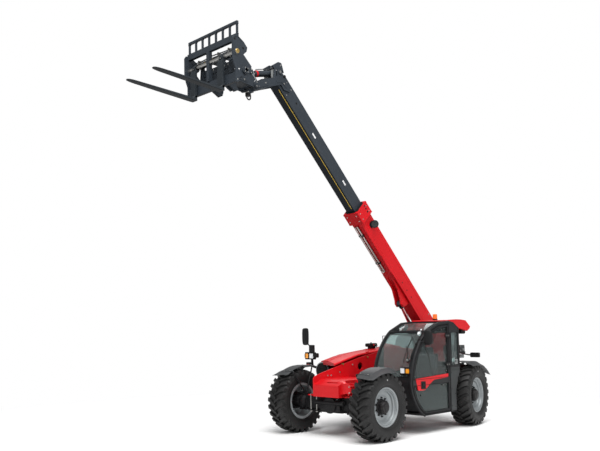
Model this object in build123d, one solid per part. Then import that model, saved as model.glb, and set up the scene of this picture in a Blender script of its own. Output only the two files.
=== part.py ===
"""Telehandler: side cab on the left, side engine bay on the right, two-section telescopic boom on the centre line,
four steered wheels, quick-hitch carriage with pallet forks.
Working frame while modelling: X forward, Y left, Z up, origin on the ground midway between the axles.
Everything is moved by -X_MID at the end, so that the origin is at the middle of the overall length."""
from build123d import *
import math
import os

# ---------------------------------------------------------------- driving dimensions (mm)
WHEELBASE = 2850
TRACK = 1930
TYRE_R = 583
TYRE_W = 405
RIM_BEAD_R = 300          # radius of the seat that carries the tyre
RIM_FLANGE_R = 335
RIM_HALF_W = 165
KINGPIN_Y = 795
REAR_STEER_REST = 9.25    # degrees, rear wheels at rest, anticlockwise from above
FRONT_X = WHEELBASE / 2
REAR_X = -WHEELBASE / 2
WHEEL_OFFSET = TRACK / 2 - KINGPIN_Y

REAR_END_X = -2250        # tow hitch
FORK_TIP_X = 5525
X_MID = (REAR_END_X + FORK_TIP_X) / 2

BOOM_ANGLE = 45           # degrees at rest
PIVOT = (-1750, 1670)     # boom pivot (x, z)
OUTER_W, OUTER_H = 240, 340
INNER_W, INNER_H = 190, 270
OUTER_WALL, INNER_WALL = 10, 10
OUTER_START, OUTER_END = 120, 3540   # along the boom from the pivot
INNER_START, INNER_END = 2660, 6360
COLLAR_LENGTH = 270
LIFT_EYE = (1322, -304)   # lift cylinder's rod eye in the boom's own frame (along, above the axis)
LIFT_BASE = (-1650, 1020) # lift cylinder's base pin (x, z)
HITCH_PIVOT = (3400, 5925)   # quick hitch's pivot on the boom head (x, z) at rest
TILT_REAR = (2800, 6285)     # tilt cylinder's rear pin
TILT_FRONT = (3520, 6115)    # tilt cylinder's front pin, on the hitch

PLATE_T = 20
RIGHT_PLATE_Y = -300      # outer face of the tall right side plate
LEFT_PLATE_Y = 185        # inner face of the low left side plate beside the cab
NOSE_X = 1680
DECK_Z = 1000

CAB_Y0, CAB_Y1 = 255, 1100
CAB_WALL = 45
DOOR_T = 40
DOOR_HINGE = (-600, 1112)     # door hinge axis (x, y)
HOOD_HINGE_Y = -325           # hood hinge axis, just above the hood's inner edge
FORK_SHAFT = (4206, 6153)     # bar the forks hang on (x, z)
HOOD_Y0, HOOD_Y1 = -312, -1010
HOOD_T = 10

PARTS = {}


# ---------------------------------------------------------------- small helpers
def block(x0, x1, y0, y1, z0, z1):
    return Pos((x0 + x1) / 2, (y0 + y1) / 2, (z0 + z1) / 2) * Box(abs(x1 - x0), abs(y1 - y0), abs(z1 - z0))


def side_plate(points, y0, y1):
    """A flat outline in the XZ plane, points (x, z), as thick as y0 to y1."""
    face = make_face(Polyline(*[(x, y0, z) for x, z in points], close=True))
    return extrude(face, amount=y1 - y0, dir=(0, 1, 0))


def cross_plate(points, x0, x1):
    """A flat outline in the YZ plane, points (y, z), from x0 to x1."""
    face = make_face(Polyline(*[(x0, y, z) for y, z in points], close=True))
    return extrude(face, amount=x1 - x0, dir=(1, 0, 0))


def plan_plate(points, z0, z1):
    """A flat outline in the XY plane, points (x, y), from z0 to z1."""
    face = make_face(Polyline(*[(x, y, z0) for x, y in points], close=True))
    return extrude(face, amount=z1 - z0, dir=(0, 0, 1))


def rod(a, b, r):
    """Round bar of radius r from point a to point b."""
    a, b = Vector(*a), Vector(*b)
    return Plane(origin=a, z_dir=b - a) * Cylinder(r, (b - a).length, align=(Align.CENTER, Align.CENTER, Align.MIN))


def pin_y(x, z, y0, y1, r):
    return rod((x, y0, z), (x, y1, z), r)


def turned(profile, x, y, z):
    """Solid of revolution about the Y direction through (x, y, z); profile is (offset along Y, radius)."""
    face = make_face(Polyline(*[(r, w, 0) for w, r in profile], close=True))
    return Pos(x, y, z) * revolve(face, Axis.Y)


def in_boom(shape):
    """Boom frame (X along the boom from its pivot, Z away from the ground) to the working frame at rest."""
    return Pos(PIVOT[0], 0, PIVOT[1]) * Rot(0, -BOOM_ANGLE, 0) * shape


def boom_point(s, t):
    c, k = math.cos(math.radians(BOOM_ANGLE)), math.sin(math.radians(BOOM_ANGLE))
    return PIVOT[0] + s * c - t * k, PIVOT[1] + s * k + t * c


def boom_frame(x, z):
    c, k = math.cos(math.radians(BOOM_ANGLE)), math.sin(math.radians(BOOM_ANGLE))
    dx, dz = x - PIVOT[0], z - PIVOT[1]
    return dx * c + dz * k, dz * c - dx * k


def mirror_y(shape):
    return mirror(shape, about=Plane.XZ)


def add(name, *shapes):
    whole = shapes[0]
    for s in shapes[1:]:
        whole = whole + s
    PARTS[name] = whole


# ---------------------------------------------------------------- main frame
RIGHT_OUTLINE = [  # x, z of the tall right side plate
    (-2130, 800), (-1010, 800), (-950, 450), (850, 450), (1000, 705), (NOSE_X, 705), (NOSE_X, 1020), (1645, 1060),
    (1476, 1110), (800, 1260), (350, 1352), (-120, 1425), (-900, 1500), (-1400, 1560), (-1600, 1790), (-1900, 1790),
    (-2130, 1500)]
LEFT_REAR_OUTLINE = [
    (-2130, 800), (-1010, 800), (-950, 450), (700, 450), (700, 960), (-960, 960), (-1060, 1500), (-1400, 1560),
    (-1600, 1790), (-1900, 1790), (-2130, 1500)]
LEFT_FRONT_OUTLINE = [(680, 560), (900, 560), (1000, 705), (NOSE_X, 705), (NOSE_X, 900), (1480, 985), (680, 985)]
right_plate = side_plate(RIGHT_OUTLINE, RIGHT_PLATE_Y, RIGHT_PLATE_Y + PLATE_T)
right_plate -= pin_y(350, 1185, RIGHT_PLATE_Y - 5, RIGHT_PLATE_Y + PLATE_T + 5, 68)
left_rear_plate = side_plate(LEFT_REAR_OUTLINE, LEFT_PLATE_Y, LEFT_PLATE_Y + PLATE_T)
left_front_plate = side_plate(LEFT_FRONT_OUTLINE, 280, 300)
inner_r = RIGHT_PLATE_Y + PLATE_T
deck = block(680, 1480, inner_r, 300, DECK_Z - 15, DECK_Z)
chamfer = side_plate([(1480, 985), (1480, 1000), (NOSE_X, 915), (NOSE_X, 900)], inner_r, 300)
chamfer -= block(1560, 1590, -60, 200, 900, 1010)
front_face = block(NOSE_X - 15, NOSE_X, inner_r, 290, 705, 908)
jog = block(680, 700, 205, 280, 560, 985)
belly = block(-950, 850, inner_r, LEFT_PLATE_Y, 450, 465)
belly_front = block(835, 850, inner_r, LEFT_PLATE_Y, 465, 700)
rear_floor = block(-2130, -960, inner_r, LEFT_PLATE_Y, 800, 815)
rear_wall = block(-2130, -2110, inner_r, LEFT_PLATE_Y, 815, 1300)
frame = right_plate + left_rear_plate + left_front_plate + deck + chamfer + front_face + jog + belly + belly_front
frame += rear_floor + rear_wall
# pivot pins that carry the boom and the lift cylinder, with their caps outside the plates
for (px, pz), r, cap in ((PIVOT, 40, 70), (LIFT_BASE, 30, 55)):
    frame += pin_y(px, pz, RIGHT_PLATE_Y - 15, LEFT_PLATE_Y + PLATE_T + 15, r)
    frame += pin_y(px, pz, RIGHT_PLATE_Y - 18, RIGHT_PLATE_Y, cap)
    frame += pin_y(px, pz, LEFT_PLATE_Y + PLATE_T, LEFT_PLATE_Y + PLATE_T + 16, cap)
# pads over the front axle
for y0, y1 in ((-560, -300), (300, 560)):
    frame += block(1340, 1510, y0, y1, 700, 722)
frame += side_plate([(1420, 722), (1440, 722), (1440, 860), (1420, 860)], -520, -300) - block(1400, 1460, -530, -380, 790, 870)
# ears on the left of the nose
for x0 in (1470, 1600):
    frame += cross_plate([(300, 760), (520, 800), (520, 900), (470, 960), (300, 960)], x0, x0 + 16)
add("main_frame", frame)

# ---------------------------------------------------------------- axles
for name, ax in (("front_axle", FRONT_X), ("rear_axle", REAR_X)):
    diff = block(ax - 150, ax + 150, -230, 230, 420, 690)
    diff = fillet(diff.edges().filter_by(Axis.Y), 60)
    beam = block(ax - 85, ax + 85, -640, 640, 480, 690)
    axle = diff + beam
    for s in (-1, 1):
        yk = s * KINGPIN_Y
        arm = block(ax - 65, ax + 65, s * 640, s * 705, 430, 736)
        top = block(ax - 60, ax + 60, s * 640, s * 800, 712, 736) + rod((ax, yk, 712), (ax, yk, 736), 60)
        low = block(ax - 60, ax + 60, s * 640, s * 800, 430, 454) + rod((ax, yk, 430), (ax, yk, 454), 60)
        axle = axle + arm + top + low
    # steering cylinder along the back of the beam
    xc = ax + (150 if name == "front_axle" else -150)
    axle = axle + rod((xc, -330, 600), (xc, 330, 600), 42)
    if name == "front_axle":
        for y in (-505, -365, 365, 505):
            for x in (ax - 100, ax + 90):
                axle = axle + rod((x, y, 440), (x, y, 700), 11)
        for y0, y1 in ((-560, -310), (310, 560)):
            axle = axle + block(ax - 120, ax + 110, y0, y1, 430, 448)
            axle = axle + block(ax - 60, ax + 60, y0, y1, 440, 700)
    else:
        axle = axle + block(ax - 110, ax + 110, -110, 110, 690, 800)
    add(name, axle)

add("drive_shafts",
    rod((850, -40, 560), (1275, -40, 560), 38) + rod((880, -40, 560), (930, -40, 560), 62)
    + rod((1200, -40, 560), (1240, -40, 560), 62))

# ---------------------------------------------------------------- engine side (right)
bay = block(-640, 630, -1035, RIGHT_PLATE_Y, 450, 470)
for x0, x1 in ((-640, -622), (612, 630)):
    bay += block(x0, x1, -1035, RIGHT_PLATE_Y, 470, 740) + block(x0, x1, -994, RIGHT_PLATE_Y, 740, 1150)
bay += block(-640, 630, -1035, -1017, 470, 740)
add("engine_bay", bay)
add("engine", block(-560, 420, -900, -420, 470, 1150))

HOOD_RIDGE = [(1060, 1254), (718, 1334), (355, 1412), (-246, 1472), (-1000, 1530)]   # x, z of the edge along the frame plate
HINGE_Z0, HINGE_SLOPE = 1452, 0.085   # the hinge line: height at x = 0 and its rise per mm rearward


def hood_solid(inset):
    i = inset
    rows = [(-HOOD_Y0 + i, -14), (-HOOD_Y0 + 20 + i / 2, -i), (600, 10 - i), (800, -10 - i), (930 - i / 2, -50 - i), (985 - i, -110 - i / 2), (-HOOD_Y1 - i, -190)]
    faces = []
    for x, z in HOOD_RIDGE:
        section = [(-y, z + dz) for y, dz in rows] + [(HOOD_Y1 + i, 200), (HOOD_Y0 - i, 200)]
        faces.append(make_face(Polyline(*[(x, y, h) for y, h in section], close=True)))
    k = 1 if i > 0 else 0
    side = [(1060 - i, 1216 - 60 * k), (1060 - i, 1700), (-1000 + i, 1700), (-1000 + i, 1275 - 60 * k), (-650 - 20 * k, 1275 - 60 * k),
            (-650 - 20 * k, 750 - 60 * k), (600 + 20 * k, 750 - 60 * k), (600 + 20 * k, 1216 - 60 * k)]
    body = loft(faces, ruled=True) & side_plate(side, HOOD_Y1 + i, HOOD_Y0 - i)
    corner = plan_plate([(1060 - i, HOOD_Y0), (1200, HOOD_Y0 + 30), (1200, -1100), (660 - i, -1100)], 600, 1700)
    return body - corner


hood = hood_solid(0) - hood_solid(HOOD_T)
hood -= side_plate([(1045, 1190)] + [(min(x, 1045), z - 32) for x, z in HOOD_RIDGE[:-1]] + [(-985, 1497), (-985, 1190), (-665, 600), (665, 600)], -330, -300)
for x0 in (20, -430, -880):   # hinge barrels along the hood's inner edge, each on a short leaf
    x1 = x0 + 80
    z0, z1 = (HINGE_Z0 - HINGE_SLOPE * x for x in (x0, x1))
    hood += rod((x1, HOOD_HINGE_Y, z1), (x0, HOOD_HINGE_Y, z0), 9)
    leaf = make_face(Polyline((x1, HOOD_HINGE_Y - 4, z1), (x1, HOOD_HINGE_Y + 2, z1), (x1, HOOD_HINGE_Y + 2, z1 - 18), (x1, HOOD_HINGE_Y - 24, z1 - 12),
                              (x1, HOOD_HINGE_Y - 24, z1 + 3), close=True))
    hood += extrude(leaf, amount=80 * math.hypot(1, HINGE_SLOPE), dir=Vector(-1, 0, HINGE_SLOPE).normalized())
add("hood", hood)

# ---------------------------------------------------------------- rear end
weight = block(-2200, -2132, -430, 430, 560, 1150)
weight = weight + block(REAR_END_X, -2200, -60, 60, 470, 500) + block(REAR_END_X, -2200, -60, 60, 560, 590)
weight = weight + block(-2215, -2200, -60, 60, 470, 600)
weight -= rod((-2228, 0, 460), (-2228, 0, 600), 13)
add("counterweight", weight)

# ---------------------------------------------------------------- cab
def cab_profile(grow=0):
    """Side outline of the cab: two arcs up the front, flat roof, rear wall with a wheel arch below it."""
    g = grow
    front = [ThreePointArc((262 - g * .3, 330 - g), (545 + g * .8, 580 - g * .6), (665 + g, 905)),
             ThreePointArc((665 + g, 905), (532 + g * .85, 1392 + g * .5), (120 + g * .5, 1845 + g * .85))]
    rest = Polyline((120 + g * .5, 1845 + g * .85), (-240, 1985 + g), (-600, 2010 + g), (-750 - g * .3, 1985 + g), (-930 - g, 1885 + g * .5),
                     (-930 - g, 1120 - g * .5),
                    (-815 - g, 945), (-740 - g, 800), (-700 - g, 640), (-700 - g, 330 - g), (262 - g * .3, 330 - g))
    return make_face(Curve() + front + [rest])


def cab_solid(grow, y0, y1):
    face = Rot(90, 0, 0) * cab_profile(grow)
    solid = extrude(face, amount=y1 - y0, dir=(0, 1, 0))
    return Pos(0, y0 - solid.bounding_box().min.Y, 0) * solid


DOOR_POINTS = {"sill_front": (236, 354), "low_mid": (497, 592), "knee": (620, 902), "up_mid": (490, 1370), "brow": (92, 1806),
               "top_front": (-238, 1930), "top_rear": (-575, 1958), "sill_rear": (-575, 354)}


def door_outline(grow=0):
    g = grow
    p = DOOR_POINTS
    arcs = [ThreePointArc((p["sill_front"][0], 354 - g), (p["low_mid"][0] + g * .75, p["low_mid"][1] - g * .65), (620 + g, 902)),
            ThreePointArc((620 + g, 902), (490 + g * .85, 1370 + g * .5), (92 + g * .6, 1806 + g * .8))]
    rest = Polyline((92 + g * .6, 1806 + g * .8), (-238, 1930 + g), (-575 - g, 1958 + g), (-575 - g, 354 - g), (236, 354 - g))
    return make_face(Curve() + arcs + [rest])


def door_solid(grow, y0, y1):
    face = Rot(90, 0, 0) * door_outline(grow)
    solid = extrude(face, amount=y1 - y0, dir=(0, 1, 0))
    return Pos(0, y0 - solid.bounding_box().min.Y, 0) * solid


cab_outer = cab_solid(0, CAB_Y0, CAB_Y1)
cab_inner = cab_solid(-CAB_WALL, CAB_Y0 + 35, CAB_Y1 - 45)
WINDOWS = {  # x0, x1, y0, y1, z0, z1 of each cut through the shell
    "windscreen": (40, 760, 320, 1035, 1030, 1812),
    "roof_pane": (-560, 118, 320, 1035, 1840, 2100),
    "right_side": (-520, 330, 245, 300, 1060, 1760),
    "quarter": (-885, -650, 1050, 1110, 1190, 1810),
    "rear": (-960, -870, 330, 1020, 1240, 1800),
}
openings = [block(*w) for w in WINDOWS.values()]
shell = cab_outer - cab_inner
for o in openings:
    shell -= o
shell -= door_solid(8, CAB_Y1 - 60, CAB_Y1 + 10)
# outer panel behind the door, running down beside the rear wheel
shell += side_plate([(-690, 345), (-795, 345), (-795, 700), (-815, 800), (-860, 900), (-926, 1060), (-926, 1113), (-880, 1062), (-800, 955),
                     (-730, 800), (-690, 640)], CAB_Y1 - 40, CAB_Y1)
add("cab_shell", shell)

glass_ring = cab_solid(-12, CAB_Y0 + 14, CAB_Y1 - 14) - cab_solid(-18, CAB_Y0 + 20, CAB_Y1 - 20)
glass = None
for o in openings:
    pane = glass_ring & o
    glass = pane if glass is None else glass + pane
add("cab_glass", glass)

door_y0, door_y1 = CAB_Y1 - DOOR_T, CAB_Y1
window_upper = door_solid(-48, door_y0 - 5, door_y1 + 5) - block(-900, 900, door_y0 - 10, door_y1 + 10, 200, 985)
window_lower = door_solid(-48, door_y0 - 5, door_y1 + 5) - block(-900, 900, door_y0 - 10, door_y1 + 10, 880, 2200)
door = door_solid(0, door_y0, door_y1) - window_upper - window_lower
for z0, z1 in ((1185, 1245), (1720, 1780)):
    door += rod((DOOR_HINGE[0], DOOR_HINGE[1], z0), (DOOR_HINGE[0], DOOR_HINGE[1], z1), 10)
    door += block(DOOR_HINGE[0], -530, DOOR_HINGE[1] - 10, DOOR_HINGE[1] - 3, z0, z1) + block(-562, -530, 1095, DOOR_HINGE[1] - 3, z0, z1)
add("cab_door", door)
add("door_glass", (door_solid(-48, door_y0 + 14, door_y0 + 20) - block(-900, 900, door_y0 - 10, door_y1 + 10, 880, 985)))

ROOF_OUTLINE = [(-600, 2010), (-600, 2036), (-760, 2043), (-900, 2046), (-1060, 2042), (-1200, 2032), (-1361, 1912), (-1330, 1868), (-1245, 1825),
                (-1090, 1856), (-930, 1885), (-750, 1985)]
add("cab_roof", side_plate(ROOF_OUTLINE, CAB_Y0, CAB_Y1))
add("beacon", rod((-910, 600, 2046), (-910, 600, 2165), 48))
dash = side_plate([(400, 376), (700, 376), (700, 1000), (560, 1000), (430, 1020), (400, 900), (430, 700)], 300, 1000)
dash = dash & cab_solid(-CAB_WALL - 2, 300, 1000)
dash -= rod((480, 640, 315), (180, 640, 1010), 41)
add("dashboard", dash)
column = rod((400, 640, 500), (180, 640, 1010), 40) + Pos(165, 640, 1045) * Rot(0, -23, 0) * Torus(185, 16)
column += rod((180, 640, 1010), (160, 640, 1056), 30)
for a in (90, 210, 330):
    c, s = math.cos(math.radians(a)), math.sin(math.radians(a))
    tip = Pos(165, 640, 1045) * Rot(0, -23, 0) * Pos(185 * c, 185 * s, 0)
    q = tip.position
    column += rod((165, 640, 1045), (q.X, q.Y, q.Z), 10)
add("steering_column", column)
seat = block(-480, 20, 410, 890, 640, 760) + block(-560, -430, 420, 880, 760, 1420) + block(-400, -60, 480, 820, 375, 640)
add("seat", seat)

# ---------------------------------------------------------------- lamps, mirrors, small fittings on the chassis
lamps = block(662, 690, 850, 1080, 1128, 1205) + block(630, 662, 900, 960, 1140, 1180)
add("front_lamps_left", lamps)
lamp_r = block(630, 642, -985, -900, 1080, 1190) + rod((636, -950, 1130), (800, -1090, 1180), 16) - block(600, 630, -1000, -880, 1000, 1300)
lamp_r += rod((800, -1090, 1180), (815, -1100, 1340), 16)
lamp_r += block(785, 855, -1290, -935, 1330, 1440) + block(790, 840, -1165, -1040, 1440, 1600)
add("front_lamps_right", lamp_r)
mirror_r = rod((815, -1165, 1560), (815, -1230, 1700), 12) - block(700, 900, -1165, -1000, 1500, 1700)
mirror_r += block(800, 830, -1360, -1175, 1590, 1930)
add("mirror_right", mirror_r)
mirror_l = rod((300, 1040, 1720), (375, 1190, 1740), 12) + block(350, 380, 1160, 1360, 1590, 1870)
add("mirror_left", mirror_l)

# ---------------------------------------------------------------- boom
ow, oh, iw, ih = OUTER_W / 2, OUTER_H / 2, INNER_W / 2, INNER_H / 2
outer = block(OUTER_START, OUTER_END - COLLAR_LENGTH, -ow, ow, -oh, oh)
outer += block(OUTER_END - COLLAR_LENGTH, OUTER_END, -ow - 50, ow + 50, -oh - 14, oh + 14)
outer -= block(OUTER_START + 30, OUTER_END + 10, -ow + OUTER_WALL, ow - OUTER_WALL, -oh + OUTER_WALL, oh - OUTER_WALL)
outer += block(OUTER_END - 60, OUTER_END, -iw - 15, iw + 15, ih + 6, oh - OUTER_WALL) + block(OUTER_END - 60, OUTER_END, -iw - 15, iw + 15, -oh + OUTER_WALL, -ih - 6)
for s in (-1, 1):
    y0, y1 = sorted((s * 88, s * 118))
    cheek = side_plate([(-70, -60), (60, -165), (OUTER_START + 40, -165), (OUTER_START + 40, 165), (60, 165), (-70, 90)], y0, y1)
    outer += cheek + pin_y(0, 0, y0, y1, 95)
    ear = side_plate([(1180, -168), (1230, -300), (1280, -366), (1365, -366), (1420, -320), (1620, -230), (1930, -168)], *sorted((s * 52, s * 76)))
    outer += ear + pin_y(LIFT_EYE[0], LIFT_EYE[1], *sorted((s * 52, s * 92)), 48)
outer -= pin_y(0, 0, -200, 200, 40.1)
add("outer_boom", in_boom(outer))

inner = block(INNER_START, INNER_END, -iw, iw, -ih, ih) - block(INNER_START - 10, INNER_END + 10, -iw + INNER_WALL, iw - INNER_WALL, -ih + INNER_WALL, ih - INNER_WALL)
add("inner_boom", in_boom(inner))

pipes = None
for y in (-60, -10):
    p = in_boom(rod((2080, y, -196), (3230, y, -196), 13))
    pipes = p if pipes is None else pipes + p
pipes += in_boom(rod((2080, -60, -196), (2080, -10, -196), 13))
for s0 in (2300, 3000):
    pipes += in_boom(block(s0, s0 + 40, -80, 10, -196, -170))
add("boom_pipes", pipes)

# head: two cheek plates reach forward and down from the boom's end to the hitch pivot
HEAD_OUTLINE = [(2560, 5980), (2700, 5990), (2771, 6070), (3072, 5965), (3310, 5872), (3350, 5855), (3420, 5860), (3465, 5905),
                (3460, 5950), (3410, 5990), (3348, 6000), (3229, 6068), (2945, 6150), (2925, 6320), (2850, 6345), (2770, 6330),
                (2690, 6230)]
CROWN_OUTLINE = [(2700, 6290), (2760, 6330), (2850, 6345), (2925, 6320), (2986, 6354), (2833, 6452), (2760, 6450), (2733, 6392)]
head = None
for s in (-1, 1):
    y0, y1 = sorted((s * 96, s * 120))
    plate = side_plate(HEAD_OUTLINE, y0, y1) + side_plate(CROWN_OUTLINE, y0, y1)
    plate += pin_y(TILT_REAR[0], TILT_REAR[1], *sorted((s * 120, s * 134)), 45)
    plate -= side_plate([(2858, 6200), (2884, 6200), (2884, 6318), (2858, 6318)], y0 - 1, y1 + 1)
    head = plate if head is None else head + plate
head += in_boom(block(INNER_END, INNER_END + 16, -96, 96, -ih, ih))
head += side_plate([(3060, 5968), (3300, 5876), (3300, 5892), (3060, 5984)], -96, 96)
head += pin_y(2790, 6420, -96, 96, 18)
head -= pin_y(HITCH_PIVOT[0], HITCH_PIVOT[1], -200, 200, 30.1)
head += pin_y(TILT_REAR[0], TILT_REAR[1], -118, 118, 22)
add("boom_head", head)

# ---------------------------------------------------------------- lift cylinder
eye = boom_point(*LIFT_EYE)
bx, bz = LIFT_BASE
L = math.hypot(eye[0] - bx, eye[1] - bz)
ux, uz = (eye[0] - bx) / L, (eye[1] - bz) / L


def along(d, off=0):
    return bx + ux * d - uz * off, bz + uz * d + ux * off


def lift_rod_bar(d0, d1, r):
    a, b = along(d0), along(d1)
    return rod((a[0], 0, a[1]), (b[0], 0, b[1]), r)


barrel = lift_rod_bar(50, 1080, 72) + pin_y(bx, bz, -60, 60, 62) - lift_rod_bar(120, 1085, 60) - pin_y(bx, bz, -100, 100, 30.1)
barrel += lift_rod_bar(1020, 1080, 60) - lift_rod_bar(1010, 1090, 36.2)
add("lift_barrel", barrel)
piston = lift_rod_bar(760, L - 40, 36) + lift_rod_bar(760, 800, 59) + pin_y(eye[0], eye[1], -40, 40, 58)
add("lift_rod", piston)

# ---------------------------------------------------------------- tilt cylinder
tx, tz = TILT_REAR
TL = math.hypot(TILT_FRONT[0] - tx, TILT_FRONT[1] - tz)
vx, vz = (TILT_FRONT[0] - tx) / TL, (TILT_FRONT[1] - tz) / TL


def tilt_bar(d0, d1, r):
    return rod((tx + vx * d0, 0, tz + vz * d0), (tx + vx * d1, 0, tz + vz * d1), r)


tbar = tilt_bar(30, 505, 55) + pin_y(tx, tz, -40, 40, 42) - tilt_bar(60, 510, 45) - pin_y(tx, tz, -60, 60, 22.1)
tbar += tilt_bar(482, 505, 45) - tilt_bar(470, 515, 26.2)
add("tilt_barrel", tbar)
add("tilt_rod", tilt_bar(255, TL - 25, 26) + tilt_bar(252, 272, 44) + pin_y(TILT_FRONT[0], TILT_FRONT[1], -36, 36, 40))

# ---------------------------------------------------------------- quick hitch: tilts on the boom head, carries the carriage
HITCH_OUTLINE = [(3335, 5905), (3350, 5875), (3420, 5868), (3600, 5885), (3760, 5905), (3830, 5860), (3850, 5735), (3950, 5690), (4060, 5750),
                 (4060, 6125), (3925, 6125), (3925, 6186), (4060, 6186), (4060, 6300), (3970, 6330), (3830, 6318), (3486, 6162), (3455, 6100),
                 (3455, 6060), (3360, 5985)]
hitch = None
for s in (-1, 1):
    y0, y1 = sorted((s * 140, s * 164))
    plate = side_plate(HITCH_OUTLINE, y0, y1) + pin_y(TILT_FRONT[0], TILT_FRONT[1], *sorted((s * 140, s * 182)), 45)
    plate += pin_y(HITCH_PIVOT[0], HITCH_PIVOT[1], *sorted((s * 164, s * 182)), 58)
    hitch = plate if hitch is None else hitch + plate
hitch += pin_y(HITCH_PIVOT[0], HITCH_PIVOT[1], -170, 170, 30)
hitch += pin_y(4030, 6235, -560, 560, 36) + pin_y(4040, 5890, -560, 560, 30) + block(3990, 4060, -440, 260, 5790, 6125)
hitch += block(3500, 3780, -164, 164, 5905, 5925)
for s in (-1, 1):
    hitch += side_plate([(3950, 5835), (4040, 5810), (4090, 5890), (4060, 6270), (3990, 6250), (3990, 5920)],
                        *sorted((s * 430, s * 450)))
add("quick_hitch", hitch)

# ---------------------------------------------------------------- carriage with backrest
CHEEK_OUTLINE = [(4228, 5676), (4228, 5880), (4262, 5960), (4290, 6060), (4290, 6350), (4262, 6392), (4176, 6405), (4055, 6335), (3985, 6262),
                 (4000, 6195), (4065, 6135), (3900, 5985), (3930, 5880), (3981, 5839), (4161, 5753), (4180, 5676)]
carriage = None
HALF = 600
for z0, z1, x0, x1 in ((6330, 6430, 4160, 4220), (5690, 5840, 4160, 4215)):
    bar = block(x0, x1, -HALF, HALF, z0, z1)
    carriage = bar if carriage is None else carriage + bar
for y, s in ((-HALF, -1), (HALF - 24, 1)):
    carriage += side_plate(CHEEK_OUTLINE, y, y + 24)
    carriage += pin_y(4040, 5890, *sorted((s * HALF, s * (HALF + 30))), 68)
carriage += block(4165, 4245, -85, -35, 5840, 6330)
carriage += block(4160, 4200, -HALF, HALF, 6600, 6640)
for i in range(8):
    y = -HALF + 15 + i * (2 * HALF - 30) / 7
    carriage += block(4165, 4195, y - 15, y + 15, 6430, 6600)
carriage -= pin_y(*FORK_SHAFT, -HALF - 50, HALF + 50, 25.2)
carriage -= pin_y(4030, 6235, -HALF + 20, HALF - 20, 36.2)
carriage += pin_y(4040, 5890, -HALF - 40, -HALF - 30, 30) + pin_y(4040, 5890, HALF + 30, HALF + 40, 30)
add("carriage", carriage)
forks = {}
for name, y in (("fork_right", -400), ("fork_left", 272)):
    shank = block(4228, 4273, y - 62, y + 62, 5645, 6100)
    blade = side_plate([(4228, 5600), (4273, 5600), (FORK_TIP_X, 5672), (FORK_TIP_X, 5684), (4303, 5646), (4273, 5690), (4228, 5690)], y - 62, y + 62)
    ring = block(4163, 4258, y - 42, y + 42, 6085, 6198)
    forks[name] = (shank + blade + ring) - pin_y(*FORK_SHAFT, y - 100, y + 100, 25.1)
    add(name, forks[name])
shaft = pin_y(*FORK_SHAFT, -HALF - 14, HALF + 14, 25)
for s in (-1, 1):
    shaft += pin_y(*FORK_SHAFT, *sorted((s * (HALF + 1), s * (HALF + 14))), 40)
add("fork_shaft", shaft)

# ---------------------------------------------------------------- knuckles, fenders and wheels
FENDER = {  # from the wheel's centre: x, height of the top, height of the outer edge
    "front": [(410, 488, 481), (345, 528, 498), (250, 580, 535), (120, 624, 568), (-40, 648, 581), (-170, 653, 578), (-275, 638, 552), (-360, 600, 520)],
    "rear": [(262, 640, 575), (150, 652, 580), (-60, 653, 580), (-200, 645, 573), (-330, 610, 538), (-500, 520, 455), (-650, 390, 345)],
}


def fender_shell(ax, s, rows):
    """Flat top with a sloping outer skirt, lofted along the wheel through the rows of the table."""
    faces = []
    for x, top, edge in rows:
        section = [(780, top), (1060, top), (1172, edge), (1167, edge - 10), (1056, top - 10), (780, top - 10)]
        faces.append(make_face(Polyline(*[(ax + x, s * y, TYRE_R + z) for y, z in section], close=True)))
    return loft(faces, ruled=True)


TYRE_PROFILE = [(-150, 300), (-150, 336), (-196, 385), (-202, 450), (-194, 530), (-170, 566), (-90, 581), (0, TYRE_R), (90, 581), (170, 566),
                (194, 530), (202, 450), (196, 385), (150, 336), (150, 300)]


def rim_profile(s):
    """Barrel, flanges and a dished disc; s = +1 when the outboard side is +Y."""
    p = [(-RIM_HALF_W, 285), (-RIM_HALF_W, RIM_FLANGE_R), (-150, RIM_FLANGE_R), (-150, RIM_BEAD_R), (150, RIM_BEAD_R), (150, RIM_FLANGE_R),
         (RIM_HALF_W, RIM_FLANGE_R), (RIM_HALF_W, 285), (70, 285), (52, 130), (40, 130), (40, 285)]
    return [(s * w, r) for w, r in p]


def hub_profile(s):
    p = [(34, 0), (34, 150), (52, 150), (52, 128), (150, 118), (172, 80), (176, 0)]
    return [(s * w, r) for w, r in p]


def steered(shape, x, y, angle):
    return Pos(x, y, 0) * Rot(0, 0, angle) * Pos(-x, -y, 0) * shape if angle else shape


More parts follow.
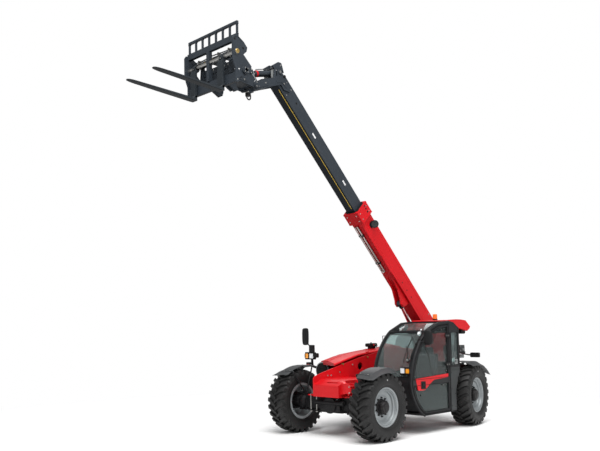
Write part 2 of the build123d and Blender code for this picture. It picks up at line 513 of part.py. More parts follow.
for end, ax in (("front", FRONT_X), ("rear", REAR_X)):
    for side, s in (("left", 1), ("right", -1)):
        angle = 0 if end == "front" else REAR_STEER_REST
        yk, yw = s * KINGPIN_Y, s * TRACK / 2
        knuckle = rod((ax, yk, 459), (ax, yk, 707), 58)
        knuckle += rod((ax, yk, TYRE_R), (ax, yw + s * 26, TYRE_R), 118)
        knuckle += rod((ax, yk, 707), (ax, yk, 712), 40) + rod((ax, yk, 454), (ax, yk, 459), 40)
        add(f"{end}_{side}_knuckle", steered(knuckle, ax, yk, angle))
        f = fender_shell(ax, s, FENDER[end])
        f += rod((ax, yk, 745), (ax, yk, 760), 50) + block(ax - 70, ax + 40, *sorted((s * 722, s * 800)), 745, 760)
        if end == "front":
            struts = ((20, 290), (-50, -205))   # x of each strut's foot and head
        else:
            struts = ((20, 100), (-50, -270))
        for x0, x1 in struts:
            top = next(a[1] + (b[1] - a[1]) * (x1 - a[0]) / (b[0] - a[0]) for a, b in zip(FENDER[end], FENDER[end][1:]) if b[0] <= x1 <= a[0])
            z1 = TYRE_R + top - 14
            f += rod((ax + x0, s * 735, 752), (ax + x1, s * 735, z1), 12)
            f += block(ax + x1 - 14, ax + x1 + 14, *sorted((s * 726, s * 800)), z1 - 13, z1 + 9)
        add(f"{end}_{side}_fender", steered(f, ax, yk, angle))
        add(f"{end}_{side}_tyre", steered(turned(TYRE_PROFILE, ax, yw, TYRE_R), ax, yk, angle))
        r = turned(rim_profile(s), ax, yw, TYRE_R) + turned(hub_profile(s), ax, yw, TYRE_R)
        add(f"{end}_{side}_rim", steered(r, ax, yk, angle))

# ---------------------------------------------------------------- write
os.makedirs("parts", exist_ok=True)
low, high = [1e9] * 3, [-1e9] * 3
for name, shape in PARTS.items():
    placed = Pos(-X_MID, 0, 0) * shape
    bb = placed.bounding_box()
    for i, (a, b) in enumerate(zip(tuple(bb.min), tuple(bb.max))):
        low[i], high[i] = min(low[i], a), max(high[i], b)
    export_step(placed, f"parts/{name}.step")
print("nodes", len(PARTS), "low", [round(v, 1) for v in low], "high", [round(v, 1) for v in high])
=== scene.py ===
"""Telehandler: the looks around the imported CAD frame.
Design frame used by the helpers: X forward, Y left, Z up, origin on the ground midway between the axles; every piece is moved by
-X_MID into the row frame when it is finished."""
import bpy
import bmesh
import math
import random
from mathutils import Matrix, Vector


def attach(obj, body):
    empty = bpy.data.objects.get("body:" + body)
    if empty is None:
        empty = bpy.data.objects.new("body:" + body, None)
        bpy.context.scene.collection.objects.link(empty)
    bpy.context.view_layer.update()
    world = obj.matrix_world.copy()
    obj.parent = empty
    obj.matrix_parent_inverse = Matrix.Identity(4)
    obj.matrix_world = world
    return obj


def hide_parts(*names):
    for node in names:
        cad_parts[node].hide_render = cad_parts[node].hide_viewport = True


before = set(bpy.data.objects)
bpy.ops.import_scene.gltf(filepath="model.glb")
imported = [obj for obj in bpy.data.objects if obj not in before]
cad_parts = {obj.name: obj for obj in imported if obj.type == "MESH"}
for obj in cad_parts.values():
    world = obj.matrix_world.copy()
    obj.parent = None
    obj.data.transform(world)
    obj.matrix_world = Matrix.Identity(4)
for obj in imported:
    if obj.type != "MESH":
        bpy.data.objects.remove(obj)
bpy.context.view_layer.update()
X_MID = 1.6375
SHIFT = Matrix.Translation((-X_MID, 0, 0))
random.seed(7)

# ------------------------------------------------------------------------------------------------ node helpers
def new_material(name):
    m = bpy.data.materials.new(name)
    m.use_nodes = True
    nt = m.node_tree
    for n in list(nt.nodes):
        nt.nodes.remove(n)
    out = nt.nodes.new("ShaderNodeOutputMaterial")
    b = nt.nodes.new("ShaderNodeBsdfPrincipled")
    nt.links.new(b.outputs[0], out.inputs[0])
    return m, nt, b


def noise_node(nt, scale, detail=3.0, rough=0.55, coord=None, stretch=None):
    tc = nt.nodes.new("ShaderNodeTexCoord")
    n = nt.nodes.new("ShaderNodeTexNoise")
    n.inputs["Scale"].default_value = scale
    n.inputs["Detail"].default_value = detail
    n.inputs["Roughness"].default_value = rough
    src = tc.outputs["Object"]
    if stretch:
        mp = nt.nodes.new("ShaderNodeMapping")
        mp.inputs["Scale"].default_value = stretch
        nt.links.new(src, mp.inputs[0])
        src = mp.outputs[0]
    nt.links.new(src, n.inputs["Vector"])
    return n


def ramp(nt, src, lo, hi, a, b):
    r = nt.nodes.new("ShaderNodeMapRange")
    r.inputs["From Min"].default_value = lo
    r.inputs["From Max"].default_value = hi
    r.inputs["To Min"].default_value = a
    r.inputs["To Max"].default_value = b
    r.clamp = True
    nt.links.new(src, r.inputs["Value"])
    return r.outputs[0]


def mix_color(nt, fac, a, b):
    m = nt.nodes.new("ShaderNodeMix")
    m.data_type = "RGBA"
    for sock, v in ((m.inputs["Factor"], fac), (m.inputs["A"], a), (m.inputs["B"], b)):
        pass
    fac_in, a_in, b_in = m.inputs[0], m.inputs[6], m.inputs[7]
    if isinstance(fac, (int, float)):
        fac_in.default_value = fac
    else:
        nt.links.new(fac, fac_in)
    for sock, v in ((a_in, a), (b_in, b)):
        if isinstance(v, (tuple, list)):
            sock.default_value = (*v[:3], 1)
        else:
            nt.links.new(v, sock)
    return m.outputs[2]


def bump(nt, height, strength, distance):
    b = nt.nodes.new("ShaderNodeBump")
    b.inputs["Strength"].default_value = strength
    b.inputs["Distance"].default_value = distance
    nt.links.new(height, b.inputs["Height"])
    return b.outputs[0]


def paint(name, color, dark, rough=0.32, spread=0.08, peel=0.0, coat=0.0, metallic=0.0, dust=(0.42, 0.39, 0.35), dusty=0.10, grain=260.0,
          grain_depth=0.0002, spec=0.5):
    """Sprayed or moulded finish: slow colour drift, thin dust that gathers low down, and a fine surface texture."""
    m, nt, b = new_material(name)
    slow = noise_node(nt, 1.7, 4.0)
    fine = noise_node(nt, 38.0, 5.0, 0.65)
    base = mix_color(nt, ramp(nt, slow.outputs[0], 0.3, 0.7, 0.0, 1.0), dark, color)
    d = nt.nodes.new("ShaderNodeMath")
    d.operation = "MULTIPLY"
    nt.links.new(ramp(nt, fine.outputs[0], 0.5, 0.78, 0.0, 1.0), d.inputs[0])
    tc = nt.nodes.new("ShaderNodeTexCoord")
    sep = nt.nodes.new("ShaderNodeSeparateXYZ")
    nt.links.new(tc.outputs["Object"], sep.inputs[0])
    low = ramp(nt, sep.outputs[2], 1.6, 0.3, dusty * 0.5, dusty * 2.2)
    nt.links.new(low, d.inputs[1])
    base = mix_color(nt, d.outputs[0], base, dust)
    nt.links.new(base, b.inputs["Base Color"])
    nt.links.new(ramp(nt, fine.outputs[0], 0.3, 0.75, rough - spread / 2, rough + spread), b.inputs["Roughness"])
    g = noise_node(nt, grain, 2.0, 0.5)
    nt.links.new(bump(nt, g.outputs[0], 0.35 if peel == 0 else peel, grain_depth), b.inputs["Normal"])
    b.inputs["Metallic"].default_value = metallic
    b.inputs["Specular IOR Level"].default_value = spec
    if coat:
        b.inputs["Coat Weight"].default_value = coat
        b.inputs["Coat Roughness"].default_value = 0.08
    return m


MAT = {}
MAT["red"] = paint("red_paint", (0.640, 0.0060, 0.012), (0.575, 0.004, 0.008), rough=0.40, coat=0.08, dusty=0.020, grain=420, grain_depth=0.00008, spec=0.24)
# lighter red: the seat belt buckle's own colour, and a painted highlight on the hood's ridge and on the nose's lock
# cylinder
MAT["red_bright_and_painted_highlight"] = paint("red_paint_bright_and_painted_highlight", (0.86, 0.050, 0.060), (0.80, 0.040, 0.050), rough=0.34, coat=0.2, dusty=0.02, grain=420, grain_depth=0.00008)
MAT["steel"] = paint("boom_steel_paint", (0.030, 0.038, 0.048), (0.023, 0.030, 0.039), rough=0.42, coat=0.06, dusty=0.04, grain=300, grain_depth=0.0001, spec=0.35)
MAT["fork"] = paint("fork_paint", (0.026, 0.032, 0.038), (0.017, 0.022, 0.027), rough=0.45, dusty=0.08, grain=120, grain_depth=0.0003, spec=0.3)
MAT["axle"] = paint("axle_cast", (0.0085, 0.0085, 0.0095), (0.0055, 0.0055, 0.0065), rough=0.5, dusty=0.035, grain=85, grain_depth=0.0008, peel=0.6, spec=0.22)
MAT["black"] = paint("cab_black_paint", (0.0135, 0.0145, 0.016), (0.0095, 0.0105, 0.012), rough=0.40, dusty=0.02, grain=300, spec=0.28)
MAT["panel_grey"] = paint("panel_grey_paint", (0.045, 0.049, 0.050), (0.035, 0.038, 0.040), rough=0.45, dusty=0.04, grain=300, spec=0.3)
MAT["plastic"] = paint("black_plastic", (0.0090, 0.0092, 0.0100), (0.0060, 0.0062, 0.0070), rough=0.55, dusty=0.03, grain=420, grain_depth=0.0003, peel=0.5, spec=0.22)
MAT["fender"] = paint("fender_plastic", (0.050, 0.053, 0.056), (0.036, 0.039, 0.042), rough=0.42, dusty=0.05, grain=520, grain_depth=0.0002, peel=0.4, spec=0.42)
MAT["grey"] = paint("grey_trim", (0.24, 0.25, 0.25), (0.18, 0.19, 0.19), rough=0.5, dusty=0.04, grain=420, spec=0.3)
MAT["rim"] = paint("rim_silver", (0.30, 0.325, 0.335), (0.235, 0.255, 0.265), rough=0.34, metallic=0.30, dusty=0.06, grain=300, grain_depth=0.0001)
MAT["hub"] = paint("hub_black", (0.011, 0.010, 0.011), (0.007, 0.0065, 0.0075), rough=0.42, dusty=0.05, grain=110, grain_depth=0.0006, spec=0.28)
MAT["rubber"] = paint("rubber_trim", (0.0090, 0.0090, 0.0098), (0.0062, 0.0062, 0.0070), rough=0.7, dusty=0.04, grain=600, grain_depth=0.0003, spec=0.2)
MAT["chrome"] = paint("chrome_rod", (0.82, 0.83, 0.85), (0.72, 0.73, 0.75), rough=0.12, spread=0.03, metallic=1.0, dusty=0.02, grain=40, grain_depth=0.00002)
MAT["zinc"] = paint("zinc_plated", (0.50, 0.50, 0.48), (0.36, 0.35, 0.33), rough=0.34, metallic=0.9, dusty=0.06, grain=120, grain_depth=0.0001)
MAT["pipe"] = paint("pipe_steel", (0.22, 0.23, 0.24), (0.15, 0.16, 0.17), rough=0.3, metallic=0.8, dusty=0.05, grain=120, grain_depth=0.0001)
MAT["brass"] = paint("brass_cap", (0.55, 0.40, 0.14), (0.42, 0.29, 0.10), rough=0.38, metallic=0.85, dusty=0.05)
MAT["white"] = paint("white_mark", (0.82, 0.82, 0.82), (0.72, 0.72, 0.72), rough=0.45, dusty=0.02)
MAT["yellow"] = paint("yellow_line", (0.75, 0.50, 0.04), (0.62, 0.42, 0.03), rough=0.5, dusty=0.02)
MAT["door_panel"] = paint("door_dark_panel", (0.014, 0.020, 0.020), (0.010, 0.015, 0.015), rough=0.30, spread=0.03, coat=0.1, dusty=0.0, grain=300, grain_depth=0.00001, spec=0.35)
MAT["fabric"] = paint("seat_fabric", (0.075, 0.080, 0.086), (0.050, 0.054, 0.060), rough=0.9, dusty=0.01, grain=900, grain_depth=0.0006, peel=0.7)


def painted_underside_shade(m, low):
    """Painted shade: faces turned down get a darker base colour, weaker specular and no coat, standing in for the shade
    under them.
    """
    nt = m.node_tree
    b = next(x for x in nt.nodes if x.type == "BSDF_PRINCIPLED")
    src = b.inputs["Base Color"].links[0].from_socket
    geo = nt.nodes.new("ShaderNodeNewGeometry")
    sep = nt.nodes.new("ShaderNodeSeparateXYZ")
    nt.links.new(geo.outputs["True Normal"], sep.inputs[0])
    v = nt.nodes.new("ShaderNodeHueSaturation")
    nt.links.new(ramp(nt, sep.outputs[2], -0.25, -0.68, 1.0, low), v.inputs["Value"])
    nt.links.new(src, v.inputs["Color"])
    nt.links.new(v.outputs[0], b.inputs["Base Color"])
    spec = b.inputs["Specular IOR Level"].default_value
    nt.links.new(ramp(nt, sep.outputs[2], -0.25, -0.68, spec, spec * low * 0.6), b.inputs["Specular IOR Level"])
    coat = b.inputs["Coat Weight"].default_value
    if coat:
        nt.links.new(ramp(nt, sep.outputs[2], -0.25, -0.68, coat, 0.0), b.inputs["Coat Weight"])


# painted shade on the faces turned down of these finishes
for _name, _low in (("red", 0.55), ("steel", 0.28), ("fork", 0.35), ("axle", 0.5), ("black", 0.6)):
    painted_underside_shade(MAT[_name], _low)


def rubber_tyre():
    m, nt, b = new_material("tyre_rubber")
    slow = noise_node(nt, 3.0, 5.0)
    fine = noise_node(nt, 60.0, 6.0, 0.7)
    base = mix_color(nt, ramp(nt, slow.outputs[0], 0.32, 0.68, 0, 1), (0.0052, 0.0052, 0.0056), (0.0115, 0.0113, 0.0111))
    base = mix_color(nt, ramp(nt, fine.outputs[0], 0.5, 0.8, 0.0, 0.22), base, (0.060, 0.056, 0.050))
    nt.links.new(base, b.inputs["Base Color"])
    nt.links.new(ramp(nt, fine.outputs[0], 0.3, 0.7, 0.44, 0.64), b.inputs["Roughness"])
    g = noise_node(nt, 240.0, 3.0, 0.6)
    nt.links.new(bump(nt, g.outputs[0], 0.4, 0.0006), b.inputs["Normal"])
    b.inputs["Specular IOR Level"].default_value = 0.40
    return m


MAT["tyre"] = rubber_tyre()


def glass(name, a, c, film_low=0.07, film_high=0.12):
    """Tinted glazing: clear transmission with a slow drift of tint; it lets light through to what stands behind it."""
    m, nt, b = new_material(name)
    n = noise_node(nt, 1.3, 3.0, 0.5)
    nt.links.new(mix_color(nt, ramp(nt, n.outputs[0], 0.35, 0.65, 0, 1), a, c), b.inputs["Base Color"])
    nt.links.new(ramp(nt, n.outputs[0], 0.4, 0.6, 0.0, 0.012), b.inputs["Roughness"])
    b.inputs["Transmission Weight"].default_value = 1.0
    b.inputs["IOR"].default_value = 1.25
    haze = nt.nodes.new("ShaderNodeBsdfDiffuse")
    haze.inputs["Color"].default_value = (0.42, 0.47, 0.47, 1)
    film = nt.nodes.new("ShaderNodeMixShader")
    nt.links.new(ramp(nt, n.outputs[0], 0.3, 0.7, film_low, film_high), film.inputs[0])
    nt.links.new(b.outputs[0], film.inputs[1])
    nt.links.new(haze.outputs[0], film.inputs[2])
    t = nt.nodes.new("ShaderNodeBsdfTransparent")
    t.inputs["Color"].default_value = (*[v * 0.9 for v in a], 1)
    mix = nt.nodes.new("ShaderNodeMixShader")
    lp = nt.nodes.new("ShaderNodeLightPath")
    nt.links.new(lp.outputs["Is Shadow Ray"], mix.inputs[0])
    nt.links.new(film.outputs[0], mix.inputs[1])
    nt.links.new(t.outputs[0], mix.inputs[2])
    out = next(x for x in nt.nodes if x.type == "OUTPUT_MATERIAL")
    nt.links.new(mix.outputs[0], out.inputs[0])
    return m


MAT["glass"] = glass("cab_glass", (0.58, 0.68, 0.67), (0.52, 0.62, 0.61))
MAT["glass_door"] = glass("door_glass", (0.49, 0.57, 0.56), (0.44, 0.52, 0.51), 0.030, 0.045)
MAT["mirror"] = paint("mirror_glass", (0.62, 0.66, 0.68), (0.56, 0.60, 0.62), rough=0.06, spread=0.02, metallic=1.0, dusty=0.02, grain=30, grain_depth=0.00001)


def lens(name, color, emit=0.0, scale=90.0, rough=0.12):
    m, nt, b = new_material(name)
    tc = nt.nodes.new("ShaderNodeTexCoord")
    w = nt.nodes.new("ShaderNodeTexWave")
    w.inputs["Scale"].default_value = scale
    w.inputs["Distortion"].default_value = 0.2
    nt.links.new(tc.outputs["Object"], w.inputs["Vector"])
    nt.links.new(mix_color(nt, w.outputs["Fac"], color, tuple(min(1, c * 1.25) for c in color)), b.inputs["Base Color"])
    nt.links.new(bump(nt, w.outputs["Fac"], 0.5, 0.001), b.inputs["Normal"])
    nt.links.new(ramp(nt, w.outputs["Fac"], 0, 1, rough, rough + 0.12), b.inputs["Roughness"])
    b.inputs["Coat Weight"].default_value = 0.6
    if emit:
        b.inputs["Emission Color"].default_value = (*color, 1)
        b.inputs["Emission Strength"].default_value = emit
    return m


MAT["amber"] = lens("amber_lens", (0.78, 0.17, 0.006), 0.06)
MAT["indicator"] = lens("indicator_lens", (0.92, 0.31, 0.010), 0.14)
MAT["clear"] = lens("clear_lens", (0.78, 0.80, 0.84), 0.10)
MAT["red_lens"] = lens("red_lens", (0.60, 0.01, 0.01), 0.05)


# ------------------------------------------------------------------------------------------------ mesh helpers
class Build:
    """Collects shapes in the design frame into one mesh; each shape takes the current material."""

    def __init__(self, *mats):
        self.bm = bmesh.new()
        self.mats = list(mats)
        self.k = 0

    def use(self, mat):
        if mat not in self.mats:
            self.mats.append(mat)
        self.k = self.mats.index(mat)
        return self

    def _mark(self, faces, matrix=None, smooth=True):
        vs = set()
        for f in faces:
            f.material_index = self.k
            f.smooth = smooth
            vs.update(f.verts)
        if matrix is not None:
            bmesh.ops.transform(self.bm, matrix=matrix, verts=list(vs))
        return faces

    def prism(self, pts, plane, a, b, matrix=None):
        """Outline extruded from a to b. plane is the pair of axes of the outline: 'xz', 'yz' or 'xy'."""
        def at(p, t):
            return {"xz": (p[0], t, p[1]), "yz": (t, p[0], p[1]), "xy": (p[0], p[1], t)}[plane]
        lo = [self.bm.verts.new(at(p, a)) for p in pts]
        hi = [self.bm.verts.new(at(p, b)) for p in pts]
        n = len(pts)
        faces = [self.bm.faces.new(lo), self.bm.faces.new(hi[::-1])]
        for i in range(n):
            faces.append(self.bm.faces.new((lo[i], hi[i], hi[(i + 1) % n], lo[(i + 1) % n])))
        bmesh.ops.recalc_face_normals(self.bm, faces=faces)
        return self._mark(faces, matrix)

    def box(self, x0, x1, y0, y1, z0, z1, matrix=None):
        return self.prism([(x0, z0), (x1, z0), (x1, z1), (x0, z1)], "xz", y0, y1, matrix)

    def revolve(self, profile, origin=(0, 0, 0), axis=(0, 1, 0), n=48, closed=False, start=0.0, turn=2 * math.pi):
        """profile is (distance along the axis, radius), turned about the axis through origin."""
        ax = Vector(axis).normalized()
        ref = Vector((1, 0, 0)) if abs(ax.x) < 0.9 else Vector((0, 0, 1))
        u = (ref - ax * ref.dot(ax)).normalized()
        v = ax.cross(u)
        o = Vector(origin)
        rings = []
        full = abs(turn - 2 * math.pi) < 1e-6
        count = n if full else n + 1
        for w, r in profile:
            if r < 1e-7:
                p = self.bm.verts.new(o + ax * w)
                rings.append([p] * count)
            else:
                rings.append([self.bm.verts.new(o + ax * w + (u * math.cos(t) + v * math.sin(t)) * r)
                              for t in (start + turn * i / n for i in range(count))])
        faces = []
        pairs = list(zip(rings, rings[1:])) + ([(rings[-1], rings[0])] if closed else [])
        for a, b in pairs:
            for i in range(n):
                j = (i + 1) % count
                q = []
                for x in (a[i], a[j], b[j], b[i]):
                    if x not in q:
                        q.append(x)
                if len(q) >= 3:
                    faces.append(self.bm.faces.new(q))
        bmesh.ops.recalc_face_normals(self.bm, faces=faces)
        return self._mark(faces)

    def cyl(self, a, b, r, r2=None, n=20):
        a, b = Vector(a), Vector(b)
        L = (b - a).length
        r2 = r if r2 is None else r2
        return self.revolve([(0, 0), (0, r), (L, r2), (L, 0)], a, b - a, n)

    def ring(self, a, b, r_in, r_out, n=32):
        a, b = Vector(a), Vector(b)
        L = (b - a).length
        return self.revolve([(0, r_in), (0, r_out), (L, r_out), (L, r_in)], a, b - a, n, closed=True)

    def bolt(self, p, d, r=0.011, h=0.008, washer=True):
        """Hexagon head on a washer at p, pointing along d."""
        p, d = Vector(p), Vector(d).normalized()
        if washer:
            self.cyl(p, p + d * h * 0.22, r * 1.45, n=14)
        self.revolve([(0, 0), (0, r), (h * 0.85, r), (h, r * 0.84), (h, 0)], p + d * h * 0.2, d, 6)

    def tube(self, pts, r, n=10, smooth=3, closed=False):
        """Round hose or bar through the points, with a smooth line between them."""
        P = [Vector(p) for p in pts]
        line = []
        if smooth and len(P) > 2:
            ext = [P[0] * 2 - P[1]] + P + [P[-1] * 2 - P[-2]]
            for i in range(1, len(ext) - 2):
                for k in range(smooth):
                    t = k / smooth
                    p0, p1, p2, p3 = ext[i - 1:i + 3]
                    line.append(0.5 * ((2 * p1) + (p2 - p0) * t + (2 * p0 - 5 * p1 + 4 * p2 - p3) * t * t + (3 * p1 - p0 - 3 * p2 + p3) * t ** 3))
            line.append(P[-1])
        else:
            line = P
        t0 = (line[1] - line[0]).normalized()
        ref = Vector((0, 0, 1)) if abs(t0.z) < 0.9 else Vector((1, 0, 0))
        u = (ref - t0 * ref.dot(t0)).normalized()
        rings = []
        for i, p in enumerate(line):
            t = (line[min(i + 1, len(line) - 1)] - line[max(i - 1, 0)]).normalized()
            u = (u - t * u.dot(t)).normalized()
            v = t.cross(u)
            rings.append([self.bm.verts.new(p + (u * math.cos(2 * math.pi * k / n) + v * math.sin(2 * math.pi * k / n)) * r) for k in range(n)])
        faces = []
        for a, b in zip(rings, rings[1:]):
            for k in range(n):
                faces.append(self.bm.faces.new((a[k], a[(k + 1) % n], b[(k + 1) % n], b[k])))
        faces.append(self.bm.faces.new(rings[0][::-1]))
        faces.append(self.bm.faces.new(rings[-1]))
        bmesh.ops.recalc_face_normals(self.bm, faces=faces)
        return self._mark(faces)

    def sheet(self, grid, thick):
        """A thin skin over a grid of points, given thickness inwards (against the outward side of its normals)."""
        rows = [[self.bm.verts.new(p) for p in row] for row in grid]
        faces = []
        for a, b in zip(rows, rows[1:]):
            for i in range(len(a) - 1):
                faces.append(self.bm.faces.new((a[i], a[i + 1], b[i + 1], b[i])))
        self._mark(faces)
        geo = bmesh.ops.solidify(self.bm, geom=faces, thickness=thick)
        extra = [g for g in geo["geom"] if isinstance(g, bmesh.types.BMFace)]
        self._mark(extra)
        return faces + extra

    def strip(self, outer, inner, plane, a, b):
        """Flat ring between two outlines with the same number of points, from a to b."""
        def at(p, t):
            return {"xz": (p[0], t, p[1]), "yz": (t, p[0], p[1]), "xy": (p[0], p[1], t)}[plane]
        o0, o1 = [self.bm.verts.new(at(p, a)) for p in outer], [self.bm.verts.new(at(p, b)) for p in outer]
        i0, i1 = [self.bm.verts.new(at(p, a)) for p in inner], [self.bm.verts.new(at(p, b)) for p in inner]
        faces = []
        n = len(outer)
        for k in range(n):
            j = (k + 1) % n
            for q in ((o0[k], o0[j], i0[j], i0[k]), (o1[k], i1[k], i1[j], o1[j]), (o0[k], o1[k], o1[j], o0[j]), (i0[k], i0[j], i1[j], i1[k])):
                faces.append(self.bm.faces.new(q))
        bmesh.ops.recalc_face_normals(self.bm, faces=faces)
        return self._mark(faces)

    def skin(self, rows, matrix=None, caps=True):
        """Skin over rings of points; each ring's last point is its first again."""
        vs = [[self.bm.verts.new(p) for p in row[:-1]] for row in rows]
        n = len(vs[0])
        faces = []
        for a, b in zip(vs, vs[1:]):
            for k in range(n):
                faces.append(self.bm.faces.new((a[k], a[(k + 1) % n], b[(k + 1) % n], b[k])))
        if caps:
            faces.append(self.bm.faces.new(vs[0][::-1]))
            faces.append(self.bm.faces.new(vs[-1]))
        bmesh.ops.recalc_face_normals(self.bm, faces=faces)
        return self._mark(faces, matrix)

    def object(self, name, body, bevel=0.0, seg=2, angle=32, slot=None, replaces=(), weighted=True, matrix=None, subdiv=0, shift=True):
        bmesh.ops.remove_doubles(self.bm, verts=self.bm.verts, dist=0.00001)
        if matrix is not None:
            bmesh.ops.transform(self.bm, matrix=matrix, verts=self.bm.verts)
        if shift:
            bmesh.ops.transform(self.bm, matrix=SHIFT, verts=self.bm.verts)
        me = bpy.data.meshes.new(name)
        self.bm.to_mesh(me)
        self.bm.free()
        for m in self.mats:
            me.materials.append(MAT[m])
        me.set_sharp_from_angle(angle=math.radians(angle))
        ob = bpy.data.objects.new(name, me)
        bpy.context.scene.collection.objects.link(ob)
        if bevel:
            mod = ob.modifiers.new("bevel", "BEVEL")
            mod.width, mod.segments, mod.limit_method, mod.angle_limit = bevel, seg, "ANGLE", math.radians(angle)
            mod.use_clamp_overlap = True
            mod.harden_normals = False
        if subdiv:
            mod = ob.modifiers.new("subdiv", "SUBSURF")
            mod.levels = mod.render_levels = subdiv
        if weighted and (bevel or not subdiv):
            mod = ob.modifiers.new("normals", "WEIGHTED_NORMAL")
            mod.keep_sharp = not bevel
        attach(ob, body)
        if replaces:
            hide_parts(*replaces)
        return ob


# ------------------------------------------------------------------------------------------------ shared outlines
def arc3(a, b, c, n=14):
    """Points on the circle through a, b and c, from a to c."""
    (ax, ay), (bx, by), (cx, cy) = a, b, c
    d = 2 * (ax * (by - cy) + bx * (cy - ay) + cx * (ay - by))
    ux = ((ax * ax + ay * ay) * (by - cy) + (bx * bx + by * by) * (cy - ay) + (cx * cx + cy * cy) * (ay - by)) / d
    uy = ((ax * ax + ay * ay) * (cx - bx) + (bx * bx + by * by) * (ax - cx) + (cx * cx + cy * cy) * (bx - ax)) / d
    r = math.hypot(ax - ux, ay - uy)
    t0 = math.atan2(ay - uy, ax - ux)
    mid = (math.atan2(by - uy, bx - ux) - t0) % (2 * math.pi)
    end = (math.atan2(cy - uy, cx - ux) - t0) % (2 * math.pi)
    turn = end if mid < end else end - 2 * math.pi
    return [(ux + r * math.cos(t0 + turn * i / n), uy + r * math.sin(t0 + turn * i / n)) for i in range(n + 1)]


def cab_front(g=0.0):
    a = arc3((262 - .3 * g, 330 - g), (545 + .8 * g, 580 - .6 * g), (665 + g, 905), 12)
    b = arc3((665 + g, 905), (532 + .85 * g, 1392 + .5 * g), (120 + .5 * g, 1845 + .85 * g), 22)
    return [(x / 1000, z / 1000) for x, z in a + b[1:] + [(-240, 1985 + g), (-600, 2010 + g)]]


def front_x(z, g=0.0):
    p = cab_front(g)
    for (x0, z0), (x1, z1) in zip(p, p[1:]):
        if z0 <= z <= z1:
            return x0 + (x1 - x0) * (z - z0) / (z1 - z0)
    return p[-1][0]


def door_loop(g=0.0, n=12, m=20):
    a = arc3((236, 354 - g), (497 + .75 * g, 592 - .65 * g), (620 + g, 902), n)
    b = arc3((620 + g, 902), (490 + .85 * g, 1370 + .5 * g), (92 + .6 * g, 1806 + .8 * g), m)
    return [(x / 1000, z / 1000) for x, z in a + b[1:] + [(-238, 1930 + g), (-575 - g, 1958 + g), (-575 - g, 354 - g)]]


def boom_place():
    """Boom frame (x along the boom from its pivot, z up from it) to the design frame at rest."""
    return Matrix.Translation((-1.75, 0, 1.67)) @ Matrix.Rotation(math.radians(-45), 4, "Y")


def along_path(points, n):
    """n + 1 points spread evenly along a line of points."""
    P = [Vector(p) for p in points]
    L = [0.0]
    for a, b in zip(P, P[1:]):
        L.append(L[-1] + (b - a).length)
    out = []
    for k in range(n + 1):
        t = L[-1] * k / n
        i = max(j for j in range(len(L) - 1) if L[j] <= t + 1e-9)
        out.append(P[i].lerp(P[i + 1], (t - L[i]) / (L[i + 1] - L[i])))
    return out


# ------------------------------------------------------------------------------------------------ CAD nodes kept: finish and rounded edges
KEEP = {  # node: (material, bevel width in metres)
    "main_frame": ("red", 0.0035), "front_axle": ("axle", 0.006), "rear_axle": ("axle", 0.006), "drive_shafts": ("axle", 0.002),
    "engine_bay": ("black", 0.003), "engine": ("axle", 0.008), "hood": ("red", 0.006), "counterweight": ("axle", 0), "cab_shell": ("black", 0.004),
    "cab_glass": ("glass", 0), "cab_door": ("black", 0.004), "door_glass": ("glass_door", 0), "cab_roof": ("red", 0.006), "beacon": ("amber", 0.003),
    "dashboard": ("plastic", 0.008), "steering_column": ("plastic", 0.002), "seat": ("fabric", 0.01), "front_lamps_left": ("plastic", 0.003),
    "front_lamps_right": ("plastic", 0.003), "mirror_right": ("plastic", 0.003), "mirror_left": ("plastic", 0.003), "outer_boom": ("red", 0.005),
    "inner_boom": ("steel", 0.006), "boom_pipes": ("pipe", 0), "boom_head": ("steel", 0.003), "lift_barrel": ("steel", 0.003), "lift_rod": ("chrome", 0.002),
    "tilt_barrel": ("steel", 0.003), "tilt_rod": ("chrome", 0.002), "quick_hitch": ("steel", 0.003), "carriage": ("steel", 0.003), "fork_right": ("fork", 0.004),
    "fork_left": ("fork", 0.004), "fork_shaft": ("zinc", 0.002),
}
for end in ("front", "rear"):
    for side in ("left", "right"):
        KEEP[f"{end}_{side}_knuckle"] = ("axle", 0.004)
        KEEP[f"{end}_{side}_fender"] = ("fender", 0.003)
        KEEP[f"{end}_{side}_tyre"] = ("tyre", 0)
        KEEP[f"{end}_{side}_rim"] = ("rim", 0.002)


OPEN_RINGS = ("front_axle", "rear_axle", "cab_shell", "cab_door", "inner_boom")  # pieces with openings in flat faces: their faces stay as they are


def finish_cad(node, mat, width):
    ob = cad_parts[node]
    me = ob.data
    me.materials.clear()
    me.materials.append(MAT[mat])
    for attr in ("custom_normal",):
        if attr in me.attributes:
            me.attributes.remove(me.attributes[attr])
    me.shade_smooth()
    w = ob.modifiers.new("weld", "WELD")
    w.merge_threshold = 0.00002
    if node not in OPEN_RINGS:
        d = ob.modifiers.new("planar", "DECIMATE")
        d.decimate_type = "DISSOLVE"
        d.angle_limit = math.radians(0.6)
    if width:
        b = ob.modifiers.new("bevel", "BEVEL")
        b.width, b.segments, b.limit_method, b.angle_limit = width, 2, "ANGLE", math.radians(32)
        b.use_clamp_overlap = False
        b.miter_outer = "MITER_ARC"
    n = ob.modifiers.new("normals", "WEIGHTED_NORMAL")
    n.keep_sharp = False


for node, (mat, width) in KEEP.items():
    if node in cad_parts:
        finish_cad(node, mat, width)

# ------------------------------------------------------------------------------------------------ wheels
WHEELS = {}
for end, ax, rest in (("front", 1.425, 0.0), ("rear", -1.425, 9.25)):
    for side, s in (("left", 1), ("right", -1)):
        a = math.radians(rest)
        yk = s * 0.795
        off = s * 0.17
        centre = Vector((ax - off * math.sin(a), yk + off * math.cos(a), 0.583))
        WHEELS[f"{end}_{side}"] = (centre, Matrix.Translation(centre) @ Matrix.Rotation(a, 4, "Z"), s)

